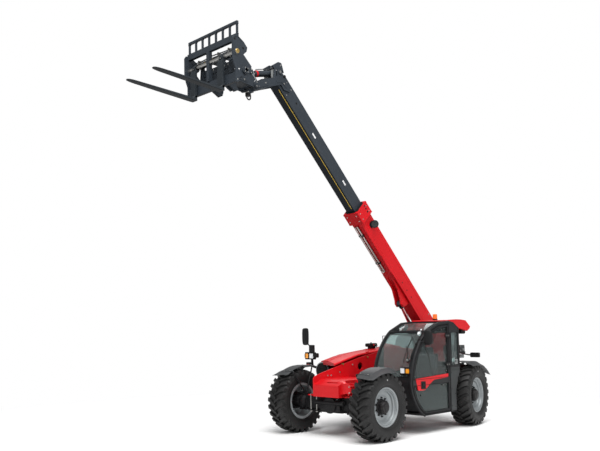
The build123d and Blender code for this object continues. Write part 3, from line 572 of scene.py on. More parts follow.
TYRE_R = 0.5825
CARCASS = [  # w across the tyre, radius
    (-0.150, 0.302), (-0.162, 0.330), (-0.176, 0.345), (-0.184, 0.352), (-0.187, 0.366), (-0.196, 0.385), (-0.2005, 0.400), (-0.1985, 0.408),
    (-0.2010, 0.425), (-0.2015, 0.450), (-0.1995, 0.470), (-0.1960, 0.484), (-0.1920, 0.492), (-0.1870, 0.508), (-0.1780, 0.524), (-0.155, 0.536),
    (-0.110, 0.5435), (-0.050, 0.547), (0, 0.548)]
CARCASS += [(-w, r) for w, r in reversed(CARCASS[:-1])]
N_LUG = 26


def lug_top(w):
    """Height of the tread surface across the tyre."""
    return TYRE_R - 0.05 * (abs(w) / 0.19) ** 4 * 0.30 - 0.0035 * (abs(w) / 0.19) ** 2


def carcass_r(w):
    w = abs(w)
    pts = [(0.0, 0.548), (0.05, 0.547), (0.11, 0.5435), (0.155, 0.536), (0.178, 0.524), (0.187, 0.508), (0.192, 0.492)]
    for (a, ra), (b, rb) in zip(pts, pts[1:]):
        if w <= b:
            return ra + (rb - ra) * (w - a) / (b - a)
    return 0.49


def tyre_mesh(direction):
    """Tyre about the Y axis through the origin; direction turns the chevrons to point the right way for that side."""
    B = Build("tyre")
    B.revolve(CARCASS, n=104)
    # concentric ribs on the sidewalls
    for s in (-1, 1):
        for w, r, h in ((0.1995, 0.474, 0.0020), (0.1870, 0.3560, 0.0025), (0.2008, 0.4160, 0.0012)):
            B.revolve([(s * (w - 0.002), r - 0.004), (s * (w + h), r - 0.0025), (s * (w + h), r + 0.0025), (s * (w - 0.002), r + 0.004)], n=104, closed=True)
    pitch = 2 * math.pi / N_LUG
    # stations across one lug: w, angle offset at its middle (in pitches), half width in metres
    stations = [(-0.012, 0.02, 0.017), (0.020, 0.17, 0.0205), (0.060, 0.37, 0.0225), (0.100, 0.56, 0.0245), (0.140, 0.71, 0.0285), (0.172, 0.80, 0.0325),
                (0.186, 0.83, 0.0335)]
    side_low = [(0.1965, 0.5050, 0.83, 0.0325), (0.1990, 0.4860, 0.83, 0.0300)]
    for s in (-1, 1):
        for i in range(N_LUG):
            th0 = (i + (0.5 if s > 0 else 0.0)) * pitch
            loops = []
            for w, o, hw in stations:
                rt, rb = lug_top(w), carcass_r(w) - 0.004
                loops.append([(w, th0 + direction * o * pitch - (hw + 0.007) / rb, rb), (w, th0 + direction * o * pitch - hw / rt, rt),
                              (w, th0 + direction * o * pitch + hw / rt, rt), (w, th0 + direction * o * pitch + (hw + 0.007) / rb, rb)])
            for w, r, o, hw in side_low:
                rb = r
                loops.append([(w - 0.012, th0 + direction * o * pitch - (hw + 0.004) / rb, rb - 0.002), (w, th0 + direction * o * pitch - hw / rb, rb),
                              (w, th0 + direction * o * pitch + hw / rb, rb), (w - 0.012, th0 + direction * o * pitch + (hw + 0.004) / rb, rb - 0.002)])
            vs = [[B.bm.verts.new((r * math.sin(t), s * w, r * math.cos(t))) for w, t, r in loop] for loop in loops]
            faces = []
            for a, b in zip(vs, vs[1:]):
                for k in range(3):
                    faces.append(B.bm.faces.new((a[k], a[k + 1], b[k + 1], b[k])))
                faces.append(B.bm.faces.new((a[3], a[0], b[0], b[3])))
            faces.append(B.bm.faces.new(vs[0]))
            faces.append(B.bm.faces.new(vs[-1][::-1]))
            bmesh.ops.recalc_face_normals(B.bm, faces=faces)
            B._mark(faces)
    return B


RIM = [  # outboard side: w from the tyre's middle, radius
    (-0.165, 0.288), (-0.166, 0.333), (-0.158, 0.335), (-0.150, 0.330), (-0.150, 0.304), (-0.135, 0.298), (0.135, 0.298), (0.150, 0.304), (0.150, 0.330),
    (0.157, 0.3350), (0.1645, 0.333), (0.165, 0.322), (0.161, 0.313), (0.150, 0.304), (0.142, 0.296), (0.118, 0.290), (0.110, 0.284), (0.104, 0.271),
    (0.088, 0.268), (0.076, 0.262), (0.070, 0.250), (0.060, 0.235), (0.054, 0.215), (0.056, 0.196), (0.060, 0.180), (0.058, 0.150), (0.052, 0.128),
    (0.046, 0.128), (0.046, 0.235), (0.050, 0.262), (0.040, 0.272), (-0.060, 0.276), (-0.120, 0.284), (-0.150, 0.288)]


def rim_mesh(s):
    B = Build("rim")
    B.revolve([(s * w, r) for w, r in RIM], n=96, closed=True)
    B.use("zinc")
    for i in range(10):
        t = 2 * math.pi * (i + 0.5) / 10
        p = Vector((0.158 * math.cos(t), s * 0.0575, 0.158 * math.sin(t)))
        B.use("hub")
        B.cyl(p, p + Vector((0, s * 0.006, 0)), 0.017, n=16)
        B.revolve([(0, 0), (0, 0.0135), (0.018, 0.0135), (0.021, 0.011), (0.021, 0.0065), (0.032, 0.0065), (0.033, 0)], p + Vector((0, s * 0.004, 0)), (0, s, 0), 6)
    # valve
    B.use("hub")
    B.tube([(0.262, s * 0.085, 0.05), (0.255, s * 0.11, 0.05), (0.245, s * 0.125, 0.05)], 0.006, 8)
    return B


def hub_mesh(s):
    B = Build("hub")
    prof = [(0.050, 0.0), (0.050, 0.135), (0.066, 0.135), (0.070, 0.128), (0.074, 0.119), (0.128, 0.116), (0.136, 0.111), (0.138, 0.098), (0.150, 0.094), (0.158, 0.088),
            (0.160, 0.070), (0.1605, 0.045), (0.168, 0.040), (0.169, 0.0)]
    B.revolve([(s * w, r) for w, r in prof], n=64)
    for i in range(12):
        t = 2 * math.pi * i / 12
        d = Vector((math.cos(t), 0, math.sin(t)))
        B.bolt(Vector((0, s * 0.1375, 0)) + d * 0.1045, (0, s, 0), 0.0055, 0.006, washer=False)
    for i in range(16):
        t = 2 * math.pi * (i + 0.5) / 16
        d = Vector((math.cos(t), 0, math.sin(t)))
        a = Vector((0, s * 0.074, 0)) + d * 0.1165
        B.cyl(a, a + Vector((0, s * 0.052, 0)), 0.006, 0.004, n=8)
    for t in (0.7, 2.8, 4.9):
        d = Vector((math.cos(t), 0, math.sin(t)))
        B.bolt(Vector((0, s * 0.160, 0)) + d * 0.060, (0, s, 0), 0.009, 0.007)
    # inboard side: drum behind the disc
    B.revolve([(-s * 0.030, 0.0), (-s * 0.030, 0.150), (s * 0.030, 0.165), (s * 0.046, 0.165), (s * 0.046, 0.0)], n=48)
    return B


for key, (centre, place, s) in WHEELS.items():
    body = key + "_wheel"
    t = tyre_mesh(-1)
    t.object(key + "_tread_tyre", body, bevel=0.0045, seg=1, angle=40, slot="tyre", replaces=[key + "_tyre"], matrix=place)
    r = rim_mesh(s)
    r.object(key + "_wheel_rim", body, bevel=0, angle=30, slot="rim_silver", replaces=[key + "_rim"], matrix=place)
    h = hub_mesh(s)
    h.object(key + "_planetary_hub", body, bevel=0.0015, seg=1, angle=35, slot="axle_black", matrix=place)
    d = Build("white")
    d.cyl((0.0, s * 0.1975, 0.455), (0.0, s * 0.2018, 0.455), 0.009, n=20)
    d.object(key + "_balance_dot", body, matrix=place, slot="tyre")

# ------------------------------------------------------------------------------------------------ cab: outside trim
Y1 = 1.100
B = Build("rubber")
# seals round the windscreen, the roof pane, the side, quarter and rear windows
for y in (0.322, 1.033):
    line = [(x + 0.001, y, z) for x, z in cab_front(0) if 1.03 < z < 1.812]
    line = [(front_x(1.03) + 0.001, y, 1.03)] + line + [(front_x(1.812) + 0.001, y, 1.812)]
    B.tube(line, 0.007, 8, smooth=1)
    B.tube([(0.112, y, 1.850), (-0.24, y, 1.986), (-0.556, y, 2.008)], 0.007, 8, smooth=1)
for z in (1.032, 1.810):
    B.tube([(front_x(z) + 0.001, 0.322, z), (front_x(z) + 0.001, 1.033, z)], 0.007, 8)
for x, z in ((0.112, 1.850), (-0.556, 2.008)):
    B.tube([(x, 0.322, z), (x, 1.033, z)], 0.007, 8)
def window_seal(B, pts, plane, w, r=0.007):
    P = [{"xz": (a, w, b), "yz": (w, a, b)}[plane] for a, b in pts]
    B.tube(P + [P[0]], r, 8, smooth=1)
window_seal(B, [(-0.883, 1.192), (-0.652, 1.192), (-0.652, 1.808), (-0.883, 1.808)], "xz", Y1 + 0.001)
window_seal(B, [(-0.518, 1.062), (0.328, 1.062), (0.328, 1.758), (-0.518, 1.758)], "xz", 0.254)
window_seal(B, [(0.332, 1.242), (1.018, 1.242), (1.018, 1.798), (0.332, 1.798)], "yz", -0.931)
# door opening's outer seal on the shell
lo, li = door_loop(20), door_loop(9)
B.use("plastic")
B.strip(lo, li, "xz", Y1 - 0.001, Y1 + 0.003)
B.object("cab_seals", "chassis", bevel=0, slot="black_plastic")

# lower front shell under the windscreen: a moulded cowl with two creases
B = Build("black")
g = [p for p in cab_front(2) if p[1] < 1.03]
rows = [[(x + (0.004 if 0.34 < y < 1.02 else 0), y, z) for y in (0.262, 0.30, 0.345, 0.40, 0.96, 1.015, 1.06, 1.096)] for x, z in g[:]]
B.sheet(rows, 0.003)
B.use("plastic")
for z in (0.56, 0.70, 0.84):
    x = front_x(z, 6)
    B.prism([(x, z - 0.012), (x + 0.006, z - 0.008), (x + 0.006, z + 0.008), (x, z + 0.012)], "xz", 0.42, 0.95)
B.object("cab_cowl", "chassis", bevel=0.002, slot="cab_black")

# corner post trim: rounded bar along the cab's left front edge
B = Build("black")
line = [(x - 0.006, Y1 - 0.010, z) for x, z in cab_front(0)]
line += [(-0.75, Y1 - 0.010, 1.985), (-0.92, Y1 - 0.010, 1.885), (-0.924, Y1 - 0.010, 1.13)]
B.tube(line, 0.017, 12, smooth=1)
line = [(x - 0.006, 0.268, z) for x, z in cab_front(0)]
line += [(-0.75, 0.268, 1.985), (-0.92, 0.268, 1.885), (-0.924, 0.268, 1.13)]
B.tube(line, 0.017, 12, smooth=1)
for z in (1.832,):
    B.tube([(front_x(z) + 0.002, 0.262, z), (front_x(z) + 0.002, 1.098, z)], 0.013, 12)
B.tube([(-0.600, 0.262, 2.008), (-0.600, 1.098, 2.008)], 0.010, 10)
B.object("cab_corner_posts", "chassis", bevel=0, slot="cab_black")

# panel behind the door with its bracket
B = Build("panel_grey")
B.prism([(-0.612, 1.150), (-0.612, 0.362), (-0.765, 0.352), (-0.770, 0.700), (-0.795, 0.800), (-0.845, 0.905), (-0.915, 1.060), (-0.922, 1.150)], "xz", Y1 - 0.001, Y1 + 0.005)
B.use("door_panel")
B.prism([(-0.640, 1.085), (-0.640, 1.135), (-0.905, 1.135), (-0.905, 1.085)], "xz", Y1 + 0.004, Y1 + 0.008)
B.use("plastic")
B.box(-0.905, -0.850, Y1 + 0.004, Y1 + 0.020, 0.905, 0.965)
B.cyl((-0.878, Y1 + 0.018, 0.935), (-0.878, Y1 + 0.034, 0.935), 0.016, n=20)
for x, z in ((-0.630, 1.06), (-0.630, 0.75), (-0.630, 0.44), (-0.745, 0.42), (-0.745, 0.66)):
    B.bolt((x, Y1 + 0.0045, z), (0, 1, 0), 0.007, 0.005)
B.use("grey")
B.box(-0.860, -0.760, Y1 + 0.0005, Y1 + 0.004, 1.205, 1.300)
B.use("plastic")
B.cyl((-0.790, Y1 + 0.001, 1.262), (-0.790, Y1 + 0.010, 1.262), 0.016, n=16)
B.object("cab_rear_panel", "chassis", bevel=0.002, slot="cab_black")

# work lamps on the brow, wiper, mirror bracket, side grab rail
B = Build("plastic")
def round_lamp(B, c, d, r=0.042, glow="clear"):
    c, d = Vector(c), Vector(d).normalized()
    B.use("plastic")
    B.revolve([(-0.050, 0), (-0.048, r * 0.55), (-0.030, r * 0.92), (0.0, r * 1.12), (0.012, r * 1.12), (0.014, r * 1.0), (0.006, r * 0.94), (0.004, 0)], c, d, 28)
    B.use(glow)
    B.revolve([(0.004, 0), (0.005, r * 0.93), (0.010, r * 0.90), (0.016, r * 0.55), (0.018, 0)], c, d, 28)
def square_lamp(B, c, d, w, h, glow="clear", depth=0.05):
    """Box lamp facing d, which lies in the ground plane."""
    d = Vector(d).normalized()
    m = Matrix.Translation(c) @ Vector((1, 0, 0)).rotation_difference(d).to_matrix().to_4x4()
    B.use("plastic")
    o = [(-w / 2, -h / 2 + 0.01), (-w / 2 + 0.01, -h / 2), (w / 2 - 0.01, -h / 2), (w / 2, -h / 2 + 0.01), (w / 2, h / 2 - 0.01), (w / 2 - 0.01, h / 2), (-w / 2 + 0.01, h / 2), (-w / 2, h / 2 - 0.01)]
    i = [(a * 0.84, b * 0.84) for a, b in o]
    faces = B.strip(o, i, "yz", -0.012, 0.010)
    B._mark(faces, m)
    B.prism([(a * 0.9, b * 0.9) for a, b in o], "yz", -depth, -0.006, m)
    B.use(glow)
    B.prism(i, "yz", -0.006, 0.004, m)
B.use("plastic")
round_lamp(B, (0.165, 0.968, 1.793), (1, 0.62, -0.05), 0.046)
B.tube([(0.13, 0.945, 1.80), (0.09, 0.930, 1.835), (0.03, 0.915, 1.872)], 0.012, 10)
round_lamp(B, (0.100, 0.430, 1.868), (1, 0.1, -0.12), 0.034, "door_panel")
B.tube([(0.07, 0.430, 1.862), (0.05, 0.430, 1.845)], 0.010, 10)
# wiper: spindle, arm and blade up the left of the glass
B.use("zinc")
B.cyl((0.575, 0.985, 1.325), (0.612, 0.990, 1.335), 0.020, n=20)
B.use("plastic")
B.cyl((0.565, 0.985, 1.320), (0.585, 0.988, 1.325), 0.030, n=20)
def glass_point(y, z, off):
    return (front_x(z) + off, y, z)
B.tube([glass_point(0.985, 1.33, 0.030), glass_point(0.97, 1.42, 0.034), glass_point(0.93, 1.50, 0.030), glass_point(0.86, 1.58, 0.020)], 0.008, 8)
B.tube([glass_point(0.90, z, 0.013) for z in (1.28, 1.36, 1.44, 1.52, 1.60, 1.68, 1.74)], 0.007, 6)
B.tube([glass_point(0.90, z, 0.021) for z in (1.34, 1.44, 1.52, 1.62, 1.68)], 0.0045, 6)
# grab rail down the corner post
B.tube([glass_point(1.062, 1.60, 0.0), glass_point(1.066, 1.58, 0.040), glass_point(1.062, 1.50, 0.046), glass_point(1.054, 1.40, 0.040), glass_point(1.050, 1.36, 0.0)], 0.010, 10)
B.box(0.515, 0.565, 1.045, 1.085, 1.345, 1.385)
B.box(0.375, 0.430, 1.045, 1.092, 1.575, 1.625)
B.object("cab_front_fittings", "chassis", bevel=0.0015, seg=1, slot="black_plastic")

# left mirror: moulded housing on a two-part arm
B = Build("plastic")
m = Matrix.Translation((0.362, 1.2800, 1.725)) @ Matrix.Rotation(math.radians(12), 4, "Z")
outline = [(0.0, -0.128), (0.050, -0.124), (0.074, -0.100), (0.080, -0.04), (0.080, 0.06), (0.072, 0.112), (0.048, 0.134), (0.0, 0.138), (-0.046, 0.132), (-0.070, 0.110), (-0.076, 0.05),
           (-0.076, -0.05), (-0.070, -0.10), (-0.046, -0.124)]
rows = []
for x, k in ((-0.020, 0.90), (-0.016, 0.985), (0.0, 1.0), (0.016, 0.97), (0.030, 0.86), (0.038, 0.62), (0.040, 0.30)):
    rows.append([(x, a * k, b * k) for a, b in outline] + [(x, outline[0][0] * k, outline[0][1] * k)])
B.skin(rows, m, caps=True)
B.use("mirror")
B.prism([(a * 0.86, b * 0.88) for a, b in outline], "yz", -0.0225, -0.0195, m)
B.use("plastic")
B.tube([(0.300, 1.088, 1.672), (0.325, 1.130, 1.690), (0.352, 1.180, 1.735), (0.365, 1.205, 1.770)], 0.013, 12)
B.tube([(0.315, 1.090, 1.650), (0.350, 1.150, 1.640), (0.368, 1.215, 1.640)], 0.009, 10)
B.box(0.275, 0.335, 1.060, 1.106, 1.630, 1.700)
B.cyl((0.360, 1.205, 1.775), (0.360, 1.205, 1.800), 0.018, n=16)
B.object("mirror_left_housing", "chassis", bevel=0.002, slot="black_plastic", replaces=["mirror_left"])

# lamps at the cab's lower front corner
B = Build("plastic")
B.prism([(0.885, 1.090), (0.893, 1.082), (1.090, 1.084), (1.098, 1.092), (1.098, 1.200), (1.088, 1.210), (0.893, 1.216), (0.885, 1.208)], "yz", 0.640, 0.676)
B.box(0.610, 0.645, 0.905, 0.955, 1.120, 1.178)
square_lamp(B, (0.690, 0.947, 1.152), (1, 0.08, 0), 0.100, 0.110, "clear", 0.024)
square_lamp(B, (0.690, 1.053, 1.147), (1, 0.08, 0), 0.086, 0.096, "indicator", 0.024)
B.object("headlamp_left", "chassis", bevel=0.0015, seg=1, slot="black_plastic", replaces=["front_lamps_left"])

# roof cap: fold lines, rear lamp and beacon
B = Build("red")
for y in (0.285, 1.070):
    B.tube([(-0.62, y, 2.040), (-0.90, y, 2.049), (-1.06, y, 2.045), (-1.19, y, 2.035), (-1.345, y, 1.915)], 0.0045, 8, smooth=1)
B.object("roof_cap_ribs", "chassis", slot="red_paint")
B = Build("plastic")
B.prism([(-1.235, 1.824), (-1.100, 1.852), (-1.095, 1.795), (-1.115, 1.775), (-1.200, 1.772), (-1.232, 1.790)], "xz", 0.930, 1.062)
B.use("clear")
B.prism([(-1.2335, 1.800), (-1.238, 1.802), (-1.2385, 1.818), (-1.2335, 1.820)], "xz", 0.945, 1.050)
B.use("plastic")
B.prism([(-1.235, 1.824), (-1.100, 1.852), (-1.095, 1.795), (-1.115, 1.775), (-1.200, 1.772), (-1.232, 1.790)], "xz", 0.300, 0.430)
B.object("roof_rear_lamps", "chassis", bevel=0.004, slot="black_plastic")
B = Build("plastic")
B.revolve([(0, 0), (0, 0.046), (0.012, 0.0478), (0.020, 0.045), (0.024, 0.036), (0.024, 0)], (-0.910, 0.600, 2.046), (0, 0, 1), 40)
B.use("amber")
prof = [(0.022, 0.0), (0.022, 0.0415)]
for i in range(9):
    z = 0.026 + i * 0.0095
    prof += [(z, 0.0440 - 0.00035 * i), (z + 0.005, 0.0452 - 0.00035 * i)]
prof += [(0.110, 0.0400), (0.116, 0.0330), (0.1185, 0.018), (0.119, 0.0)]
B.revolve(prof, (-0.910, 0.600, 2.046), (0, 0, 1), 40)
B.use("zinc")
B.cyl((-0.910, 0.600, 2.068), (-0.910, 0.600, 2.120), 0.018, n=18)
B.object("beacon_dome", "chassis", bevel=0, angle=40, slot="beacon_amber", replaces=["beacon"])

# valve block and filter on the boom tower behind the cab, and the rear lamp on its arm
B = Build("panel_grey")
B.box(-1.935, -1.760, 0.206, 0.612, 1.400, 1.535)
B.use("grey")
B.box(-1.925, -1.850, 0.6115, 0.620, 1.425, 1.470)
B.box(-1.920, -1.775, 0.206, 0.600, 1.275, 1.345)
B.cyl((-1.85, 0.40, 1.340), (-1.85, 0.40, 1.405), 0.050, n=28)
B.use("plastic")
B.box(-1.945, -1.750, 0.206, 0.618, 1.360, 1.402)
B.box(-1.880, -1.800, 0.206, 0.330, 1.180, 1.280)
B.use("zinc")
for x in (-1.92, -1.775):
    for z in (1.42, 1.515):
        B.bolt((x, 0.612, z), (0, 1, 0), 0.008, 0.006)
B.use("plastic")
B.tube([(-1.76, 0.59, 1.382), (-1.62, 0.70, 1.378), (-1.45, 0.90, 1.370), (-1.335, 1.06, 1.362), (-1.320, 1.12, 1.362)], 0.012, 12)
B.prism([(1.118, 1.330), (1.135, 1.316), (1.292, 1.316), (1.305, 1.330), (1.305, 1.394), (1.292, 1.408), (1.135, 1.408), (1.118, 1.392)], "yz", -1.335, -1.285)
B.use("red_lens")
B.prism([(1.145, 1.330), (1.285, 1.330), (1.285, 1.394), (1.145, 1.394)], "yz", -1.340, -1.334)
B.object("rear_lamp_left", "chassis", bevel=0.004, slot="black_plastic")

# ------------------------------------------------------------------------------------------------ door
B = Build("rubber")
B.strip(door_loop(-1), door_loop(-12), "xz", Y1 - 0.002, Y1 + 0.004)
up = [p for p in door_loop(-43) if p[1] > 0.985]
up = [(front_of, 0.985) for front_of in (0.575,)] + up + [(-0.532, 0.985)]
ui = [p for p in door_loop(-54) if p[1] > 0.993]
lo = [p for p in door_loop(-43) if p[1] < 0.880]
low = [p for p in door_loop(-43) if p[1] < 0.88]
B.tube([(x, Y1, z) for x, z in up + [up[0]]], 0.006, 8, smooth=1)
a = [p for p in low if p[0] > -0.53] 
B.tube([(x, Y1, z) for x, z in a + [(0.572, 0.880), (-0.532, 0.880), (-0.532, 0.397), a[0]]], 0.006, 8, smooth=1)
B.object("door_seals", "cab_door", bevel=0, slot="black_plastic")
B = Build("black")
# outer rounded edge of the door
B.tube([(x, Y1 - 0.006, z) for x, z in door_loop(-22)[:33]] + [(-0.238, Y1 - 0.006, 1.908), (-0.553, Y1 - 0.006, 1.936), (-0.553, Y1 - 0.006, 0.376), (0.226, Y1 - 0.006, 0.376)], 0.011, 10, smooth=1)
# lower panel behind the glass, with the belt above it
B.use("door_panel")
pan = [p for p in door_loop(-40) if p[1] < 0.90]
B.prism([(0.565, 0.90)] + [(-0.535, 0.90), (-0.535, 0.394)] + [p for p in pan if p[0] > -0.5], "xz", Y1 - 0.046, Y1 - 0.038)
B.use("red")
stripe = [(0.520, 0.999), (-0.524, 1.045), (-0.522, 0.981), (-0.058, 0.956), (0.0, 0.934), (0.243, 0.792), (0.290, 0.786), (0.430, 0.789), (0.455, 0.800)]
B.prism(stripe, "xz", Y1 - 0.008, Y1 + 0.0035)
B.use("plastic")
B.prism([(0.226, 0.815), (0.236, 0.806), (0.352, 0.812), (0.366, 0.826), (0.366, 0.940), (0.356, 0.950), (0.238, 0.946), (0.226, 0.936)], "xz", Y1 + 0.002, Y1 + 0.010)
B.use("rubber")
B.prism([(0.248, 0.830), (0.345, 0.834), (0.345, 0.928), (0.248, 0.925)], "xz", Y1 + 0.009, Y1 + 0.0115)
B.use("plastic")
B.prism([(0.262, 0.868), (0.335, 0.872), (0.335, 0.905), (0.262, 0.902)], "xz", Y1 + 0.010, Y1 + 0.020)
B.cyl((0.296, Y1 + 0.009, 0.846), (0.296, Y1 + 0.015, 0.846), 0.009, n=16)
# rear edge: a grey strip, a painted highlight along the edge, and two hinge covers
B.use("grey")
B.box(-0.561, -0.552, Y1 - 0.001, Y1 + 0.003, 0.69, 1.13)
B.use("plastic")
for z in (1.215, 1.750):
    B.prism([(-0.590, z - 0.034), (-0.470, z - 0.038), (-0.440, z - 0.020), (-0.432, z), (-0.440, z + 0.020), (-0.470, z + 0.038), (-0.590, z + 0.034)], "xz", Y1 + 0.002, Y1 + 0.024)
    B.cyl((-0.600, 1.112, z - 0.045), (-0.600, 1.112, z + 0.045), 0.0135, n=18)
    B.use("zinc")
    for x in (-0.545, -0.480):
        B.bolt((x, Y1 + 0.0235, z), (0, 1, 0), 0.007, 0.004)
    B.use("plastic")
# dots of the glass fixings
for x, z in ((-0.352, 0.845), (0.343, 0.704), (-0.352, 1.86), (0.15, 1.60), (-0.48, 1.10)):
    B.use("plastic")
    B.cyl((x, Y1 - 0.032, z), (x, Y1 - 0.010, z), 0.016, n=20)
    B.use("zinc")
    B.cyl((x, Y1 - 0.012, z), (x, Y1 - 0.008, z), 0.008, n=16)
# inside bar: sliding-window rail and grab handle
B.use("plastic")
B.tube([(0.165, Y1 - 0.042, 1.569), (0.040, Y1 - 0.046, 1.400), (-0.065, Y1 - 0.046, 1.105), (-0.085, Y1 - 0.044, 1.000)], 0.014, 10)
B.tube([(0.40, Y1 - 0.060, 1.36), (0.36, Y1 - 0.085, 1.30), (0.28, Y1 - 0.09, 1.10), (0.27, Y1 - 0.060, 1.03)], 0.012, 10)
B.cyl((0.030, Y1 - 0.040, 1.395), (0.030, Y1 - 0.060, 1.395), 0.024, n=20)
B.object("door_trim", "cab_door", bevel=0.0015, seg=1, slot="cab_black")

# ------------------------------------------------------------------------------------------------ inside the cab
def cushion(name, body, rows, mat="fabric", extra=None):
    """Stuffed pad skinned over rows of points that close round it, each row a ring."""
    B = Build(mat)
    B.skin(rows, None, caps=True)
    ob = B.object(name, body, bevel=0, angle=60, slot="seat_fabric", replaces=extra or (), subdiv=1)
    return ob


def pad_rows(c, size, rot=0.0, crown=0.22, n=22, side=0.82):
    """Rings from the pad's back to its front; each ring is a rounded box section that swells in the middle and has a piped seam."""
    L, W, H = size
    R = Matrix.Rotation(rot, 4, "Y")
    c = Vector(c)
    rows = []
    steps = (0.0, 0.02, 0.06, 0.14, 0.26, 0.30, 0.32, 0.34, 0.38, 0.50, 0.62, 0.66, 0.68, 0.70, 0.74, 0.86, 0.94, 0.98, 1.0)
    for t in steps:
        e = math.sin(math.pi * min(max(t, 0.0), 1.0)) ** 0.30 if 0 < t < 1 else 0.35
        groove = 0.90 if abs(t - 0.32) < 0.011 or abs(t - 0.68) < 0.011 else 1.0
        ring = []
        for k in range(n):
            a = 2 * math.pi * k / n
            cy, sz = math.cos(a), math.sin(a)
            y = math.copysign(abs(cy) ** 0.45, cy) * W / 2 * (0.90 + 0.10 * e)
            z = math.copysign(abs(sz) ** 0.55, sz) * H / 2 * (0.72 + 0.28 * e)
            if sz > 0:
                u = abs(y) / (W / 2)
                z *= groove * (1 + crown * (1 - u * u))
                if abs(u - side) < 0.09:
                    z *= 0.95
            ring.append(c + R @ Vector(((t - 0.5) * L, y, z)))
        rows.append(ring + [ring[0]])
    return rows


cushion("seat_cushion", "chassis", pad_rows((-0.235, 0.650, 0.705), (0.50, 0.47, 0.105), 0.05), extra=["seat"])
cushion("seat_back_cushion", "chassis", pad_rows((-0.495, 0.650, 1.085), (0.63, 0.45, 0.100), math.radians(-80) + math.pi))
cushion("seat_head_pad", "chassis", pad_rows((-0.535, 0.650, 1.455), (0.14, 0.25, 0.075), math.radians(-84) + math.pi, 0.15))
B = Build("plastic")
# seat shell, side bolsters, armrests, sliding base
B.prism([(-0.500, 0.630), (0.000, 0.655), (0.030, 0.690), (-0.020, 0.700), (-0.500, 0.675)], "xz", 0.440, 0.860)
B.prism([(-0.530, 0.700), (-0.560, 0.760), (-0.600, 1.400), (-0.570, 1.405), (-0.520, 0.800), (-0.495, 0.700)], "xz", 0.455, 0.845)
B.prism([(-0.45, 0.640), (-0.05, 0.640), (-0.08, 0.560), (-0.12, 0.520), (-0.42, 0.520)], "xz", 0.490, 0.810)
for i in range(5):
    z = 0.392 + i * 0.026
    k = 0.010 if i % 2 else 0.0
    B.box(-0.40 + k, -0.08 - k, 0.50 + k, 0.80 - k, z, z + 0.022)
B.box(-0.42, -0.06, 0.47, 0.83, 0.376, 0.394)
B.box(-0.40, -0.10, 0.50, 0.80, 0.518, 0.545)
for y0, y1 in ((0.375, 0.430), (0.870, 0.925)):
    B.prism([(-0.50, 0.880), (-0.46, 0.862), (-0.13, 0.862), (-0.110, 0.880), (-0.115, 0.905), (-0.50, 0.915)], "xz", y0, y1)
    B.tube([(-0.53, (y0 + y1) / 2, 0.84), (-0.47, (y0 + y1) / 2, 0.872)], 0.014, 10)
B.use("zinc")
for y in (0.510, 0.790):
    B.tube([(-0.43, y, 0.560), (-0.40, y, 0.470), (-0.12, y, 0.560)], 0.008, 8)
# belt buckle and strap
B.use("rubber")
B.box(-0.36, -0.30, 0.432, 0.440, 0.66, 0.80)
B.use("red_bright_and_painted_highlight")
B.box(-0.35, -0.31, 0.428, 0.444, 0.80, 0.85)
B.object("seat_frame", "chassis", bevel=0.004, slot="black_plastic")

B = Build("plastic")
# instrument hood, side console, levers, pedals, floor mat
B.prism([(0.46, 1.00), (0.56, 1.00), (0.585, 1.045), (0.56, 1.075), (0.42, 1.060), (0.40, 1.020)], "xz", 0.44, 0.84)
B.prism([(-0.30, 0.376), (0.26, 0.376), (0.26, 0.70), (0.20, 0.79), (-0.05, 0.84), (-0.30, 0.84)], "xz", 0.302, 0.368)
B.use("rubber")
B.box(-0.60, 0.40, 0.305, 1.040, 0.372, 0.382)
for i in range(14):
    B.box(-0.56 + i * 0.066, -0.53 + i * 0.066, 0.88, 1.02, 0.381, 0.386)
B.use("door_panel")
B.prism([(0.470, 1.0105), (0.552, 1.012), (0.568, 1.046), (0.552, 1.062), (0.470, 1.055)], "xz", 0.455, 0.825)
B.use("plastic")
B.tube([(-0.02, 0.335, 0.83), (-0.01, 0.345, 0.92), (0.0, 0.350, 1.00)], 0.010, 10)
B.revolve([(0, 0), (0.0, 0.014), (0.02, 0.022), (0.07, 0.026), (0.095, 0.018), (0.10, 0)], (0.0, 0.350, 0.985), (0.05, 0.02, 1), 20)
B.tube([(0.10, 0.335, 0.81), (0.12, 0.335, 0.90)], 0.007, 8)
B.revolve([(0, 0), (0, 0.010), (0.012, 0.016), (0.030, 0.014), (0.036, 0)], (0.12, 0.335, 0.895), (0, 0, 1), 16)
for y0, y1, x in ((0.50, 0.56, 0.36), (0.70, 0.76, 0.37), (0.80, 0.85, 0.37)):
    m = Matrix.Translation((x, (y0 + y1) / 2, 0.50)) @ Matrix.Rotation(math.radians(-32), 4, "Y")
    B.box(-0.006, 0.006, -(y1 - y0) / 2, (y1 - y0) / 2, -0.055, 0.055, m)
    B.tube([(x + 0.01, (y0 + y1) / 2, 0.50), (x + 0.07, (y0 + y1) / 2, 0.62)], 0.008, 8)
B.use("amber")
B.box(0.466, 0.4685, 0.60, 0.625, 1.030, 1.042)
B.use("clear")
for y in (0.50, 0.56, 0.72, 0.78):
    B.cyl((0.4695, y, 1.034), (0.4665, y, 1.034), 0.013, n=18)
B.object("cab_controls", "chassis", bevel=0.003, slot="black_plastic")
# headliner, rear shelf
B = Build("grey")
B.box(-0.885, -0.60, 0.32, 1.03, 1.905, 1.915)
B.use("plastic")
B.box(-0.905, -0.66, 0.31, 1.04, 1.120, 1.180)
B.tube([(-0.62, 0.36, 1.20), (-0.62, 0.36, 1.80), (-0.60, 0.40, 1.93)], 0.014, 10)
B.object("cab_lining", "chassis", bevel=0.003, slot="black_plastic")

